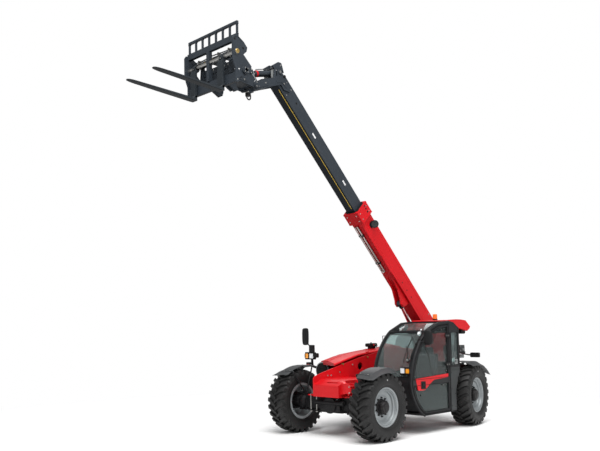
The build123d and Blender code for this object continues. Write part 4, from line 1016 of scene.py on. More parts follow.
# ------------------------------------------------------------------------------------------------ fenders
FENDER_ROWS = {  # from the wheel's centre: x; heights at the inner edge, crease and outer edge above the wheel's centre
    "front": [(0.408, 0.497, 0.478, 0.481), (0.390, 0.508, 0.486, 0.484), (0.345, 0.532, 0.510, 0.497), (0.290, 0.566, 0.546, 0.517), (0.249, 0.591, 0.570, 0.534), (0.180, 0.614, 0.596, 0.553),
              (0.120, 0.630, 0.613, 0.566), (0.060, 0.643, 0.628, 0.573), (-0.002, 0.652, 0.639, 0.580), (-0.060, 0.654, 0.643, 0.582), (-0.130, 0.655, 0.648, 0.583), (-0.175, 0.655, 0.648, 0.579),
              (-0.240, 0.653, 0.641, 0.566), (-0.285, 0.646, 0.626, 0.550), (-0.325, 0.632, 0.606, 0.535), (-0.358, 0.614, 0.590, 0.524)],
    "rear": [(0.260, 0.641, 0.632, 0.574), (0.200, 0.647, 0.639, 0.578), (0.120, 0.652, 0.646, 0.581), (0.040, 0.653, 0.649, 0.581), (-0.040, 0.654, 0.650, 0.581), (-0.120, 0.651, 0.647, 0.578),
             (-0.200, 0.645, 0.640, 0.572), (-0.270, 0.630, 0.624, 0.558), (-0.330, 0.609, 0.601, 0.538), (-0.390, 0.577, 0.568, 0.509), (-0.450, 0.546, 0.536, 0.482), (-0.510, 0.510, 0.501, 0.449),
             (-0.580, 0.456, 0.448, 0.400), (-0.645, 0.396, 0.390, 0.350)]}


def fender(end, side, s, place):
    B = Build("fender")
    rows = []
    table = FENDER_ROWS[end]
    for k, (x, hi, mid, out) in enumerate(table):
        y_in = 0.786
        if end == "front" and k < 3:
            y_in = (0.840, 0.815, 0.795)[k]
        T = 0.583
        prof = [(y_in, hi - 0.014), (y_in + 0.004, hi - 0.003), (y_in + 0.014, hi)]
        for u in (0.35, 0.70):
            prof.append((y_in + (1.040 - y_in) * u, hi + (mid - hi) * u * u))
        prof += [(1.036, mid + 0.0015), (1.052, mid + 0.001), (1.062, mid - 0.004)]
        for u in (0.4, 0.8):
            prof.append((1.062 + (1.168 - 1.062) * u, mid - 0.004 + (out - mid + 0.004) * u - 0.004 * math.sin(math.pi * u)))
        prof += [(1.168, out), (1.1715, out - 0.006), (1.170, out - 0.012)]
        rows.append([(x, s * y, T + z) for y, z in prof])
    if s < 0:
        rows = rows[::-1]
    B.sheet(rows, 0.0055)
    B.use("plastic")
    B.object(f"{end}_{side}_fender_skin", f"{end}_{side}_knuckle", bevel=0.0015, seg=1, angle=20, slot="fender_plastic", replaces=[f"{end}_{side}_fender"], matrix=place)
    # struts under the fender, their tabs and bolts
    B = Build("black")
    if end == "front":
        struts = ((0.020, 0.290), (-0.050, -0.205))
    else:
        struts = ((0.020, 0.100), (-0.050, -0.270))
    yk = s * 0.795
    B.cyl((0, yk, 0.745), (0, yk, 0.762), 0.050, n=28)
    B.prism([(-0.070, s * 0.724), (0.040, s * 0.724), (0.040, s * 0.79), (0.02, s * 0.80), (-0.05, s * 0.80), (-0.070, s * 0.79)], "xy", 0.745, 0.760)
    for x0, x1 in struts:
        for a, b in zip(table, table[1:]):
            if b[0] <= x1 <= a[0]:
                f = (x1 - a[0]) / (b[0] - a[0])
                top = a[1] + (b[1] - a[1]) * f
                mid = a[2] + (b[2] - a[2]) * f
        z1 = 0.583 + top - 0.018
        B.tube([(x0, s * 0.735, 0.755), (x0 + (x1 - x0) * 0.10, s * 0.735, 0.80), (x0 + (x1 - x0) * 0.90, s * 0.735, z1 - 0.055), (x1, s * 0.745, z1 - 0.006), (x1, s * 0.800, z1 + 0.001)], 0.0135, 12)
        # flat tongue running under the skin
        B.skin([[(x1 + dx, s * y, 0.583 + h + dz) for dx, dz in ((-0.019, -0.0125), (0.019, -0.0125), (0.019, -0.0065), (-0.019, -0.0065), (-0.019, -0.0125))]
                for y, h in ((0.792, top - 0.0005), (0.90, top + (mid - top) * 0.25), (1.035, mid))])
        B.use("zinc")
        for y, h in ((0.830, top), (0.985, top + (mid - top) * 0.62)):
            B.bolt((x1, s * y, 0.583 + h - 0.001), (0, 0, 1), 0.010, 0.006)
        B.use("black")
    for dx, dy in ((0.030, 0.0), (-0.015, 0.026), (-0.015, -0.026)):
        B.use("zinc")
        B.bolt((dx, yk + dy, 0.761), (0, 0, 1), 0.008, 0.006)
    B.object(f"{end}_{side}_fender_struts", f"{end}_{side}_knuckle", bevel=0.001, seg=1, slot="axle_black", matrix=place)


for end, ax, rest in (("front", 1.425, 0.0), ("rear", -1.425, 9.25)):
    for side, s in (("left", 1), ("right", -1)):
        yk = s * 0.795
        place = Matrix.Translation((ax, yk, 0)) @ Matrix.Rotation(math.radians(rest), 4, "Z") @ Matrix.Translation((0, -yk, 0))
        fender(end, side, s, place)
        # swivel caps and their bolts on the knuckle
        B = Build("axle")
        for z, d in ((0.722, 1), (0.444, -1)):
            B.cyl((0, yk, z), (0, yk, z + d * 0.020), 0.046, 0.040, n=28)
            for i in range(4):
                t = math.pi / 4 + i * math.pi / 2
                B.bolt((0.032 * math.cos(t), yk + 0.032 * math.sin(t), z + d * 0.019), (0, 0, d), 0.007, 0.005, washer=False)
        B.object(f"{end}_{side}_swivel_caps", f"{end}_{side}_knuckle", bevel=0.0015, seg=1, slot="axle_black", matrix=place)

# ------------------------------------------------------------------------------------------------ right-hand lamps and mirror
B = Build("plastic")
B.box(0.632, 0.644, -0.985, -0.905, 1.080, 1.190)
for z in (1.10, 1.17):
    B.bolt((0.643, -0.945, z), (1, 0, 0), 0.008, 0.006)
B.tube([(0.640, -0.950, 1.135), (0.720, -1.010, 1.150), (0.800, -1.085, 1.180), (0.815, -1.098, 1.240), (0.815, -1.100, 1.345)], 0.024, 14)
B.prism([(-1.272, 1.322), (-1.262, 1.314), (-1.035, 1.314), (-1.025, 1.324), (-1.025, 1.446), (-1.035, 1.456), (-1.262, 1.456), (-1.272, 1.446)], "yz", 0.780, 0.832)
B.prism([(-1.288, 1.352), (-1.262, 1.345), (-1.262, 1.425), (-1.288, 1.418)], "yz", 0.792, 0.830)
square_lamp(B, (0.842, -1.212, 1.385), (1, -0.05, 0), 0.098, 0.112, "indicator", 0.03)
square_lamp(B, (0.842, -1.096, 1.385), (1, 0.05, 0), 0.116, 0.116, "clear", 0.03)
B.use("plastic")
B.prism([(-1.040, 1.362), (-0.985, 1.350), (-0.950, 1.352), (-0.938, 1.365), (-0.938, 1.425), (-0.950, 1.438), (-0.985, 1.440), (-1.040, 1.428)], "yz", 0.795, 0.850)
B.prism([(-1.160, 1.446), (-1.150, 1.440), (-1.052, 1.440), (-1.042, 1.450), (-1.044, 1.586), (-1.056, 1.598), (-1.140, 1.598), (-1.158, 1.580)], "yz", 0.795, 0.838)
B.prism([(-1.245, 1.218), (-1.235, 1.208), (-1.150, 1.212), (-1.120, 1.225), (-1.125, 1.252), (-1.160, 1.262), (-1.240, 1.258)], "yz", 0.795, 0.835)
B.use("red_lens")
B.prism([(-1.232, 1.210), (-1.160, 1.214), (-1.155, 1.222), (-1.232, 1.219)], "yz", 0.834, 0.838)
B.object("headlamp_right", "chassis", bevel=0.003, slot="black_plastic", replaces=["front_lamps_right"])

B = Build("plastic")
B.tube([(0.815, -1.130, 1.560), (0.815, -1.170, 1.585), (0.815, -1.215, 1.640), (0.815, -1.240, 1.700), (0.813, -1.262, 1.740)], 0.0115, 12)
m = Matrix.Translation((0.816, -1.2708, 1.760)) @ Matrix.Rotation(math.radians(-4), 4, "Z")
outline_r = [(0.0, -0.168), (0.058, -0.164), (0.080, -0.142), (0.088, -0.05), (0.089, 0.08), (0.080, 0.148), (0.056, 0.168), (0.0, 0.170), (-0.060, 0.164), (-0.082, 0.142), (-0.089, 0.05),
             (-0.088, -0.08), (-0.078, -0.145), (-0.056, -0.164)]
rows = []
for x, k in ((-0.015, 0.92), (-0.012, 0.99), (0.0, 1.0), (0.008, 0.94), (0.013, 0.70), (0.014, 0.30)):
    rows.append([(x, a * k, b * k) for a, b in outline_r] + [(x, outline_r[0][0] * k, outline_r[0][1] * k)])
B.skin(rows, m)
B.use("mirror")
B.prism([(a * 0.87, b * 0.90) for a, b in outline_r], "yz", -0.0170, -0.0145, m)
B.object("mirror_right_housing", "chassis", bevel=0.0015, slot="black_plastic", replaces=["mirror_right"])

# ------------------------------------------------------------------------------------------------ nose of the frame and front axle
PLATE_OUT, PLATE_IN = -0.300, -0.280
HOOD_OUT = -1.010
PLATE_BOLTS = [(1.289, 1.055), (1.195, 1.054), (0.948, 1.099), (0.576, 1.224)]
AXLE_LABEL = [(0.188, 0.516), (0.232, 0.516), (0.232, 0.580), (0.188, 0.580)]
B = Build("zinc")
for x, z in PLATE_BOLTS:
    B.bolt((x, PLATE_IN, z), (0, 1, 0), 0.012, 0.008)
B.use("black")
B.prism([(1.575, 0.955), (1.590, 0.945), (1.590, 0.900), (1.575, 0.905)], "xz", PLATE_IN + 0.0005, PLATE_IN + 0.002)
# studs, nuts and clamp bolts over the axle
for y in (-0.505, -0.365, 0.365, 0.505):
    for x in (1.325, 1.515):
        B.use("zinc" if y < 0 else "axle")
        B.cyl((x, y, 0.448), (x, y, 0.733), 0.0118, n=16)
        B.revolve([(0, 0.0), (0, 0.019), (0.016, 0.019), (0.018, 0.016), (0.018, 0.0)], (x, y, 0.722 if 1.34 < x < 1.51 else 0.700), (0, 0, 1), 6)
        B.revolve([(0, 0.0), (0, 0.020), (-0.018, 0.020), (-0.020, 0.016), (-0.020, 0.0)], (x, y, 0.430), (0, 0, 1), 6)
B.use("grey")
B.box(1.556, 1.568, 0.150, 0.180, 0.600, 0.668)
B.object("nose_bolts", "chassis", bevel=0.001, seg=1, slot="axle_black")

B = Build("red")
B.use("black")
B.prism([(1.500, 0.9068), (1.600, 0.9068), (1.600, 0.9082), (1.500, 0.9082)], "xz", -0.020, 0.110)
B.prism([(-0.318, 0.800), (-0.306, 0.800), (-0.306, 0.895), (-0.318, 0.895)], "yz", 1.6325, 1.6338)
B.use("red")
# stiffener feet, front edge folds and the lock cylinder with its pins
for s in (-1, 1):
    B.prism([(s * 0.300, 0.700), (s * 0.560, 0.700), (s * 0.562, 0.720), (s * 0.300, 0.724)], "yz", 1.505, 1.530)
B.tube([(1.631, 0.296, 0.712), (1.6325, 0.296, 0.900)], 0.005, 8)
B.tube([(1.6325, -0.300, 0.9065), (1.6325, 0.290, 0.9065)], 0.0045, 8)
# the lock cylinder's body in the lighter red: a painted highlight along it
B.use("red_bright_and_painted_highlight")
B.cyl((1.545, 0.330, 0.925), (1.560, 0.462, 0.775), 0.037, n=28)
B.cyl((1.541, 0.300, 0.958), (1.546, 0.340, 0.914), 0.045, n=28)
B.use("red")
B.cyl((1.560, 0.455, 0.783), (1.563, 0.475, 0.760), 0.046, n=28)
for z, y in ((0.800, 0.492), (0.905, 0.492)):
    B.cyl((1.462, y, z), (1.625, y, z), 0.016, n=20)
B.use("zinc")
for z, y in ((0.800, 0.492), (0.905, 0.492)):
    B.bolt((1.616, y, z), (1, 0, 0), 0.013, 0.009)
B.object("nose_lock_cylinder", "chassis", bevel=0.0012, seg=1, slot="red_paint")

B = Build("axle")
# castings: ribs, housing flange ring and bolts, track-rod ends
for ax, d in ((1.425, 1), (-1.425, -1)):
    xf = ax + d * 0.150
    B.revolve([(0, 0.0), (0, 0.150), (0.022, 0.146), (0.030, 0.120), (0.030, 0.0)], (ax + d * 0.146, 0.0, 0.560), (d, 0, 0), 40)
    for i in range(12):
        t = 2 * math.pi * i / 12
        B.bolt((ax + d * 0.168, 0.134 * math.cos(t), 0.560 + 0.134 * math.sin(t)), (d, 0, 0), 0.009, 0.007)
    for s in (-1, 1):
        B.prism([(ax - 0.085, 0.50), (ax + 0.085, 0.50), (ax + 0.070, 0.48), (ax - 0.070, 0.48)], "xz", s * 0.24 if s > 0 else -0.64, s * 0.64 if s > 0 else -0.24)
        for y in (0.255, 0.615):
            B.prism([(ax - 0.098, 0.485), (ax + 0.098, 0.485), (ax + 0.098, 0.690), (ax + 0.085, 0.702), (ax - 0.085, 0.702), (ax - 0.098, 0.690)], "xz", *sorted((s * (y - 0.012), s * (y + 0.012))))
        B.cyl((ax + 0.0, s * 0.64, 0.583), (ax + 0.0, s * 0.700, 0.583), 0.115, 0.135, n=32)
        for i in range(10):
            t = 2 * math.pi * (i + 0.5) / 10
            B.bolt((ax + 0.118 * math.cos(t), s * 0.699, 0.583 + 0.118 * math.sin(t)), (0, s, 0), 0.008, 0.006)
B.use("white")
B.prism(AXLE_LABEL, "yz", 1.5095, 1.5115)
B.object("axle_castings", "chassis", bevel=0.0025, seg=1, slot="axle_black")

# ------------------------------------------------------------------------------------------------ hood and engine side
RIDGE = [(-1.000, 1.530), (-0.246, 1.472), (0.355, 1.412), (0.718, 1.334), (1.060, 1.254)]
CROSS = [(-1.010, -0.190), (-0.985, -0.110), (-0.930, -0.050), (-0.800, -0.010), (-0.600, 0.010), (-0.332, 0.0), (-0.312, -0.014)]


def between(table, t):
    for (a, va), (b, vb) in zip(table, table[1:]):
        if a <= t <= b:
            return va + (vb - va) * (t - a) / (b - a)
    return table[0][1] if t < table[0][0] else table[-1][1]


def hood_z(x, y):
    """Height of the hood's top skin."""
    return between(RIDGE, x) + between(CROSS, y)


B = Build("plastic")
# louvred grille let into the hood's outer side, and its frame
x0, x1, z0, z1 = -0.56, 0.44, 0.86, 1.13
y = HOOD_OUT
B.strip([(x0 - .02, z0 - .02), (x1 + .02, z0 - .02), (x1 + .02, z1 + .02), (x0 - .02, z1 + .02)], [(x0, z0), (x1, z0), (x1, z1), (x0, z1)], "xz", y - 0.004, y + 0.004)
B.box(x0, x1, y - 0.0015, y + 0.002, z0, z1)
for i in range(13):
    z = z0 + 0.012 + i * (z1 - z0 - 0.02) / 13
    B.prism([(y - 0.0015, z + 0.016), (y - 0.010, z), (y - 0.010, z + 0.003), (y - 0.0015, z + 0.019)], "yz", x0, x1)
for i in range(1, 4):
    x = x0 + (x1 - x0) * i / 4
    B.box(x - 0.006, x + 0.006, y - 0.012, y, z0, z1)
B.use("zinc")
for x in (x0 - 0.01, x1 + 0.01):
    for z in (z0 - 0.01, z1 + 0.01):
        B.bolt((x, y - 0.004, z), (0, -1, 0), 0.006, 0.004)
# latch with its recess
B.use("plastic")
B.cyl((-0.05, y, 0.80), (-0.05, y - 0.008, 0.80), 0.030, n=28)
B.use("zinc")
B.cyl((-0.05, y - 0.007, 0.80), (-0.05, y - 0.012, 0.80), 0.014, n=20)
# air screen in the top: a row of dark bars
B.use("plastic")
pts = []
for x in (-0.82, -0.42):
    pts.append([(x, -0.88), (x, -0.68)])
for i in range(11):
    xx = -0.82 + i * 0.04
    for yy0, yy1 in ((-0.90, -0.66),):
        z = hood_z(xx, -0.78)
        B.skin([[(xx + dx, yy, hood_z(xx, yy) + dz) for dx, dz in ((-0.012, -0.001), (0.012, -0.001), (0.008, 0.005), (-0.008, 0.005), (-0.012, -0.001))] for yy in (yy0, -0.78, yy1)])
B.object("hood_grilles", "engine_hood", bevel=0, slot="black_plastic")

B = Build("red")
# pressed edges along the hood: the ridge beside the frame, drawn as a lighter red tube that is a painted highlight, and
# two soft creases
for y, r in ((-0.600, 0.0035), (-0.930, 0.004)):
    B.tube([(x, y, hood_z(x, y) + 0.0005) for x in (0.86 if y > -0.7 else 0.74, 0.70, 0.50, 0.355, 0.1, -0.1, -0.246, -0.5, -0.75, -0.99)], r, 8, smooth=1)
B.use("red_bright_and_painted_highlight")
B.tube([(x, -0.3315, hood_z(x, -0.3315) - 0.001) for x in (1.045, 0.90, 0.718, 0.54, 0.355, 0.06, -0.246, -0.6, -0.99)], 0.0065, 10, smooth=1)
B.use("red")
nose = [(1.050, -0.330), (0.985, -0.460), (0.915, -0.598), (0.812, -0.800), (0.748, -0.925)]
B.tube([(x - 0.006, y, hood_z(x, y) - 0.002) for x, y in nose], 0.006, 8, smooth=1)
B.object("hood_creases", "engine_hood", bevel=0, slot="red_paint")
B = Build("plastic")
# intake hood with its screen, standing on a short neck
B.prism([(-0.485, 1.466), (-0.365, 1.457), (-0.355, 1.545), (-0.470, 1.550)], "xz", -0.650, -0.550)
B.prism([(-0.510, 1.540), (-0.490, 1.528), (-0.345, 1.530), (-0.318, 1.544), (-0.312, 1.585), (-0.330, 1.600), (-0.490, 1.604), (-0.515, 1.592)], "xz", -0.676, -0.524)
B.prism([(-0.520, 1.550), (-0.310, 1.544), (-0.306, 1.552), (-0.520, 1.558)], "xz", -0.684, -0.516)
B.cyl((-0.410, -0.600, 1.600), (-0.410, -0.600, 1.622), 0.012, n=16)
B.use("red_lens")
B.cyl((-0.395, -0.524, 1.574), (-0.395, -0.516, 1.574), 0.017, n=24)
B.use("grey")
B.prism([(-0.460, 1.566), (-0.434, 1.566), (-0.434, 1.588), (-0.460, 1.588)], "xz", -0.5245, -0.519)
B.object("hood_intake", "engine_hood", bevel=0.005, slot="black_plastic")

# air cleaner in the gap ahead of the hood, hoses and catches
B = Build("plastic")
AIR = (0.690, -0.870, 1.105)
B.revolve([(-0.30, 0.0), (-0.30, 0.060), (0.0, 0.064), (0.004, 0.125), (0.012, 0.150), (0.080, 0.154), (0.084, 0.148), (0.104, 0.144), (0.112, 0.130), (0.112, 0.060), (0.106, 0.055), (0.106, 0.0)], AIR, (1, 0, 0), 56)
for i in range(12):
    t = 2 * math.pi * i / 12
    B.box(-0.004, 0.004, -0.010, 0.010, 0.060, 0.118, Matrix.Translation((AIR[0] + 0.110, AIR[1], AIR[2])) @ Matrix.Rotation(t, 4, "X"))
B.use("rim")
B.revolve([(0.078, 0.1535), (0.080, 0.1635), (0.096, 0.1635), (0.098, 0.1455)], AIR, (1, 0, 0), 56, closed=True)
B.use("plastic")
B.tube([(0.58, -0.640, 1.12), (0.66, -0.635, 1.12), (0.71, -0.61, 1.09), (0.72, -0.56, 1.02), (0.70, -0.52, 0.94), (0.64, -0.50, 0.90)], 0.042, 18)
B.tube([(0.62, -0.93, 0.98), (0.69, -0.93, 0.97), (0.72, -0.90, 0.90), (0.70, -0.86, 0.80), (0.63, -0.84, 0.76)], 0.022, 14)
B.box(0.632, 0.645, -0.985, -0.56, 0.76, 0.98)
B.box(0.606, 0.632, -0.990, -0.32, 1.146, 1.160)
B.use("zinc")
for y, z in ((-0.96, 0.78), (-0.96, 0.95), (-0.60, 0.78)):
    B.bolt((0.6445, y, z), (1, 0, 0), 0.009, 0.006)
B.object("air_cleaner", "chassis", bevel=0.002, seg=1, slot="black_plastic")
B = Build("brass")
for x, z in ((0.856, 1.2485), (0.119, 1.350)):
    B.box(x - 0.030, x + 0.030, PLATE_OUT + 0.002, PLATE_IN + 0.006, z + 0.001, z + 0.012)
    B.cyl((x, PLATE_IN + 0.004, z - 0.012), (x, PLATE_IN + 0.014, z - 0.012), 0.014, n=18)
B.object("hood_catches", "chassis", bevel=0.002, seg=1, slot="pipe_steel")

# ------------------------------------------------------------------------------------------------ boom
BOOM = boom_place()
B = Build("red")
OW, OH = 0.120, 0.170
# folded seams and doubler plates on the outer boom's sides
for s in (-1, 1):
    for t in (0.105, -0.105):
        B.skin([[(x, s * y, z + t) for y, z in ((0.1195, -0.012), (0.1225, -0.008), (0.1225, 0.008), (0.1195, 0.012), (0.1195, -0.012))] for x in (0.60, 3.27)])
    B.prism([(0.125, -0.150), (0.62, -0.150), (0.70, -0.090), (0.70, 0.090), (0.62, 0.150), (0.125, 0.150)], "xz", *sorted((s * 0.1185, s * 0.1245)))
    B.prism([(1.10, -0.168), (1.98, -0.168), (1.92, -0.120), (1.18, -0.120)], "xz", *sorted((s * 0.1185, s * 0.1250)))
    # collar: two bands and the slots of the wear pads
    B.prism([(3.275, -0.183), (3.300, -0.183), (3.300, 0.183), (3.275, 0.183)], "xz", *sorted((s * 0.169, s * 0.1725)))
    B.prism([(3.505, -0.183), (3.535, -0.183), (3.535, 0.183), (3.505, 0.183)], "xz", *sorted((s * 0.169, s * 0.1725)))
B.use("zinc")
for s in (-1, 1):
    for x in (3.345, 3.470):
        for z in (-0.125, 0.125):
            B.bolt((x, s * 0.170, z), (0, s, 0), 0.009, 0.006)
    for x in (0.20, 0.60):
        for z in (-0.115, 0.115):
            B.bolt((x, s * 0.1245, z), (0, s, 0), 0.012, 0.008)
B.use("plastic")
for s in (-1, 1):
    for x, z in ((1.657, -0.062), (1.448, -0.064), (1.252, -0.058)):
        B.cyl((x, s * 0.119, z), (x, s * 0.1225, z), 0.014, n=20)
    for x in (3.36, 3.43, 3.50):
        B.prism([(x - 0.016, 0.060), (x + 0.016, 0.060), (x + 0.016, 0.100), (x - 0.016, 0.100)], "xz", *sorted((s * 0.1698, s * 0.1712)))
B.use("zinc")
for x in (3.350, 3.470):
    for y in (-0.11, 0.11):
        B.bolt((x, y, -0.184), (0, 0, -1), 0.009, 0.006)
        B.bolt((x, y, 0.184), (0, 0, 1), 0.009, 0.006)
B.use("plastic")
# wear pads showing at the collar's mouth
for y0, y1, z0, z1 in ((-0.105, 0.105, -0.168, -0.1395), (-0.105, 0.105, 0.1395, 0.168), (-0.152, -0.097, -0.13, 0.13), (0.097, 0.152, -0.13, 0.13)):
    B.box(3.500, 3.546, y0, y1, z0, z1)
# rear end cover, rounded cap plates on the pivot
B.use("red")
for s in (-1, 1):
    B.cyl((0, s * 0.118, 0), (0, s * 0.128, 0), 0.078, n=36)
B.use("zinc")
for s in (-1, 1):
    B.cyl((0, s * 0.1275, 0), (0, s * 0.131, 0), 0.036, n=28)
    for i in range(4):
        t = math.pi / 4 + i * math.pi / 2
        B.bolt((0.058 * math.cos(t), s * 0.1275, 0.058 * math.sin(t)), (0, s, 0), 0.009, 0.006)
B.use("red")
B.box(0.122, 0.150, -0.108, 0.108, -0.158, 0.158)
B.object("outer_boom_details", "boom", bevel=0.0015, seg=1, slot="red_paint", matrix=BOOM)

B = Build("zinc")
# pipes under the boom, in clamps
for y in (-0.065, -0.005):
    B.tube([(2.110, y, -0.196), (3.235, y, -0.196)], 0.0145, 14, smooth=0)
B.tube([(2.112, -0.065, -0.196), (2.084, -0.058, -0.196), (2.072, -0.035, -0.196), (2.084, -0.012, -0.196), (2.112, -0.005, -0.196)], 0.0145, 14)
B.use("zinc")
for x in (2.115, 3.20):
    for y in (-0.065, -0.005):
        B.revolve([(0, 0.0148), (0, 0.019), (0.024, 0.019), (0.024, 0.0148)], (x, y, -0.196), (1, 0, 0), 6, closed=True)
B.use("plastic")
for x in (2.300, 3.000):
    B.box(x - 0.002, x + 0.030, -0.086, 0.016, -0.214, -0.168)
B.use("zinc")
for x in (2.321, 3.021):
    B.bolt((x, -0.035, -0.213), (0, 0, -1), 0.008, 0.006)
B.object("boom_pipes_clamped", "boom", bevel=0.001, seg=1, slot="pipe_steel", replaces=["boom_pipes"], matrix=BOOM)

B = Build("red")
# side cover under the left edge, lamp on the collar
B.prism([(2.05, -0.182), (3.22, -0.182), (3.26, -0.176), (3.26, -0.168), (2.02, -0.168)], "xz", 0.030, 0.116)
B.object("boom_side_cover", "boom", bevel=0.003, slot="red_paint", matrix=BOOM)
B = Build("plastic")
# flood lamp on the left side, its bracket on the collar
B.revolve([(-0.075, 0), (-0.073, 0.030), (-0.055, 0.055), (-0.010, 0.068), (0.0, 0.074), (0.020, 0.075), (0.024, 0.071), (0.018, 0.066), (0.016, 0)], (3.080, 0.195, 0.045), (0.42, 0.60, -0.80), 40)
B.use("door_panel")
B.revolve([(0.016, 0), (0.017, 0.065), (0.021, 0.060), (0.028, 0.030), (0.030, 0)], (3.080, 0.195, 0.045), (0.42, 0.60, -0.80), 40)
B.use("plastic")
B.prism([(3.04, -0.02), (3.12, -0.02), (3.14, 0.05), (3.12, 0.11), (3.04, 0.11)], "xz", 0.119, 0.135)
B.cyl((3.080, 0.130, 0.045), (3.075, 0.175, 0.055), 0.020, n=20)
B.object("boom_work_lamp", "boom", bevel=0.001, seg=1, slot="black_plastic", matrix=BOOM)

# inner boom: marks, welded edge strips, bolt rows
B = Build("steel")
for s in (-1, 1):
    for z in (-0.128, 0.128):
        B.skin([[(x, s * y, z + dz) for y, dz in ((0.0945, -0.006), (0.0962, -0.004), (0.0962, 0.004), (0.0945, 0.006), (0.0945, -0.006))] for x in (3.60, 6.355)])
B.use("yellow")
B.prism([(0.0500, -0.1370), (0.0590, -0.1370), (0.0590, -0.1349), (0.0500, -0.1349)], "yz", 3.62, 6.26)
B.use("panel_grey")
for s in (-1, 1):
    for z, x0, x1 in ((0.040, 3.62, 5.78), (-0.092, 3.62, 5.95)):
        B.skin([[(x, s * y, z + dz) for y, dz in ((0.0945, -0.004), (0.0955, -0.0025), (0.0955, 0.0025), (0.0945, 0.004), (0.0945, -0.004))] for x in (x0, x1)])
B.use("white")
for s in (-1, 1):
    for x, z in ((5.199, -0.024), (4.111, 0.011)):
        B.prism([(x - 0.055, z - 0.014), (x + 0.055, z - 0.014), (x + 0.055, z + 0.020), (x - 0.055, z + 0.020)], "xz", *sorted((s * 0.0948, s * 0.0957)))
B.use("zinc")
for s in (-1, 1):
    for x in (6.10, 6.25):
        for z in (-0.080, 0.080):
            B.bolt((x, s * 0.095, z), (0, s, 0), 0.009, 0.006)
B.use("plastic")
for s in (-1, 1):
    B.cyl((5.86, s * 0.0945, 0.02), (5.86, s * 0.0975, 0.02), 0.018, n=20)
B.object("inner_boom_details", "boom_extension", bevel=0.0006, seg=1, slot="boom_steel", matrix=BOOM)

# ------------------------------------------------------------------------------------------------ boom head
B = Build("steel")
for s in (-1, 1):
    # doubler plates along the lower edge and round the hitch pivot, pin caps, bolts
    B.prism([(3.085, 5.990), (3.300, 5.902), (3.345, 5.885), (3.400, 5.880), (3.440, 5.912), (3.436, 5.940), (3.395, 5.965), (3.335, 5.975), (3.215, 6.038), (3.110, 6.050)], "xz", *sorted((s * 0.119, s * 0.127)))
    B.cyl((2.780, s * 0.119, 6.268), (2.780, s * 0.137, 6.268), 0.030, n=28)
    B.prism([(2.640, 6.030), (2.760, 6.110), (2.880, 6.080), (2.870, 6.130), (2.800, 6.200), (2.690, 6.170)], "xz", *sorted((s * 0.119, s * 0.125)))
B.use("plastic")
for s in (-1, 1):
    B.cyl((2.693, s * 0.118, 6.227), (2.693, s * 0.134, 6.227), 0.026, n=24)
B.use("zinc")
for s in (-1, 1):
    B.cyl((2.800, s * 0.133, 6.285), (2.800, s * 0.138, 6.285), 0.022, n=24)
    for x, z in ((2.70, 6.10), (3.14, 6.02), (3.30, 5.93), (2.78, 6.40)):
        B.bolt((x, s * (0.126 if x > 3 else 0.1245 if z < 6.3 else 0.120), z), (0, s, 0), 0.010, 0.007)
B.use("grey")
for s in (-1, 1):
    B.prism([(2.886, 6.150), (2.930, 6.145), (2.974, 6.160), (2.974, 6.280), (2.955, 6.300), (2.886, 6.300)], "xz", *sorted((s * 0.080, s * 0.092)))
B.use("pipe")
for y in (-0.050, 0.050):
    B.tube([(2.70, y, 6.34), (2.78, y, 6.372), (2.88, y, 6.345), (2.95, y, 6.325)], 0.0125, 12)
B.tube([(2.66, 0.02, 6.29), (2.72, 0.02, 6.395), (2.80, 0.02, 6.395), (2.92, 0.02, 6.36)], 0.011, 12)
B.object("boom_head_details", "boom_extension", bevel=0.0015, seg=1, slot="boom_steel")

# lug block and shackle under the head
B = Build("steel")
B.prism([(3.478, 5.846), (3.445, 5.800), (3.330, 5.838), (3.345, 5.856), (3.400, 5.858)], "xz", -0.035, 0.035)
B.use("hub")
B.tube([(3.455, 0.0, 5.822), (3.470, 0.0, 5.770), (3.452, 0.0, 5.722), (3.412, 0.0, 5.705), (3.382, 0.0, 5.728), (3.378, 0.0, 5.775), (3.390, 0.0, 5.832)], 0.011, 12)
B.box(3.400, 3.470, -0.030, 0.030, 5.755, 5.812)
B.use("zinc")
B.cyl((3.455, -0.045, 5.826), (3.455, 0.045, 5.826), 0.011, n=16)
B.object("hitch_lug", "carriage", bevel=0.002, seg=1, slot="boom_steel")

# ------------------------------------------------------------------------------------------------ lift cylinder
def cyl_frame(a, b):
    """Frame at a with its X toward b; both are (x, z) in the plane y = 0."""
    d = Vector((b[0] - a[0], 0, b[1] - a[1])).normalized()
    m = Matrix(((d.x, 0, -d.z, a[0]), (0, 1, 0, 0), (d.z, 0, d.x, a[1]), (0, 0, 0, 1)))
    return m


eye = BOOM @ Vector((1.322, 0, -0.304))
LIFT = cyl_frame((-1.650, 1.020), (eye.x, eye.z))
L_LIFT = math.hypot(eye.x + 1.650, eye.z - 1.020)
B = Build("steel")
B.revolve([(0.050, 0), (0.050, 0.066), (0.075, 0.0725), (0.110, 0.0725), (0.118, 0.070), (0.960, 0.070), (0.968, 0.0755), (1.060, 0.0755), (1.068, 0.072), (1.0805, 0.070), (1.0805, 0.0368), (1.0, 0.0368), (1.0, 0.058), (0.14, 0.058), (0.14, 0)], (0, 0, 0), (1, 0, 0), 48)
B.revolve([(-0.060, 0.0305), (-0.060, 0.060), (-0.054, 0.064), (0.054, 0.064), (0.060, 0.060), (0.060, 0.0305)], (0, 0, 0), (0, 1, 0), 40, closed=True)
for i in range(12):
    t = 2 * math.pi * i / 12
    B.bolt((1.080, 0.054 * math.cos(t), 0.054 * math.sin(t)), (1, 0, 0), 0.0065, 0.006, washer=False)
B.use("pipe")
B.tube([(0.16, 0.0, 0.083), (0.20, 0.0, 0.088), (0.55, 0.0, 0.088), (0.96, 0.0, 0.088), (1.00, 0.0, 0.082)], 0.009, 12)
B.use("zinc")
B.cyl((0.145, 0, 0.060), (0.145, 0, 0.094), 0.014, n=18)
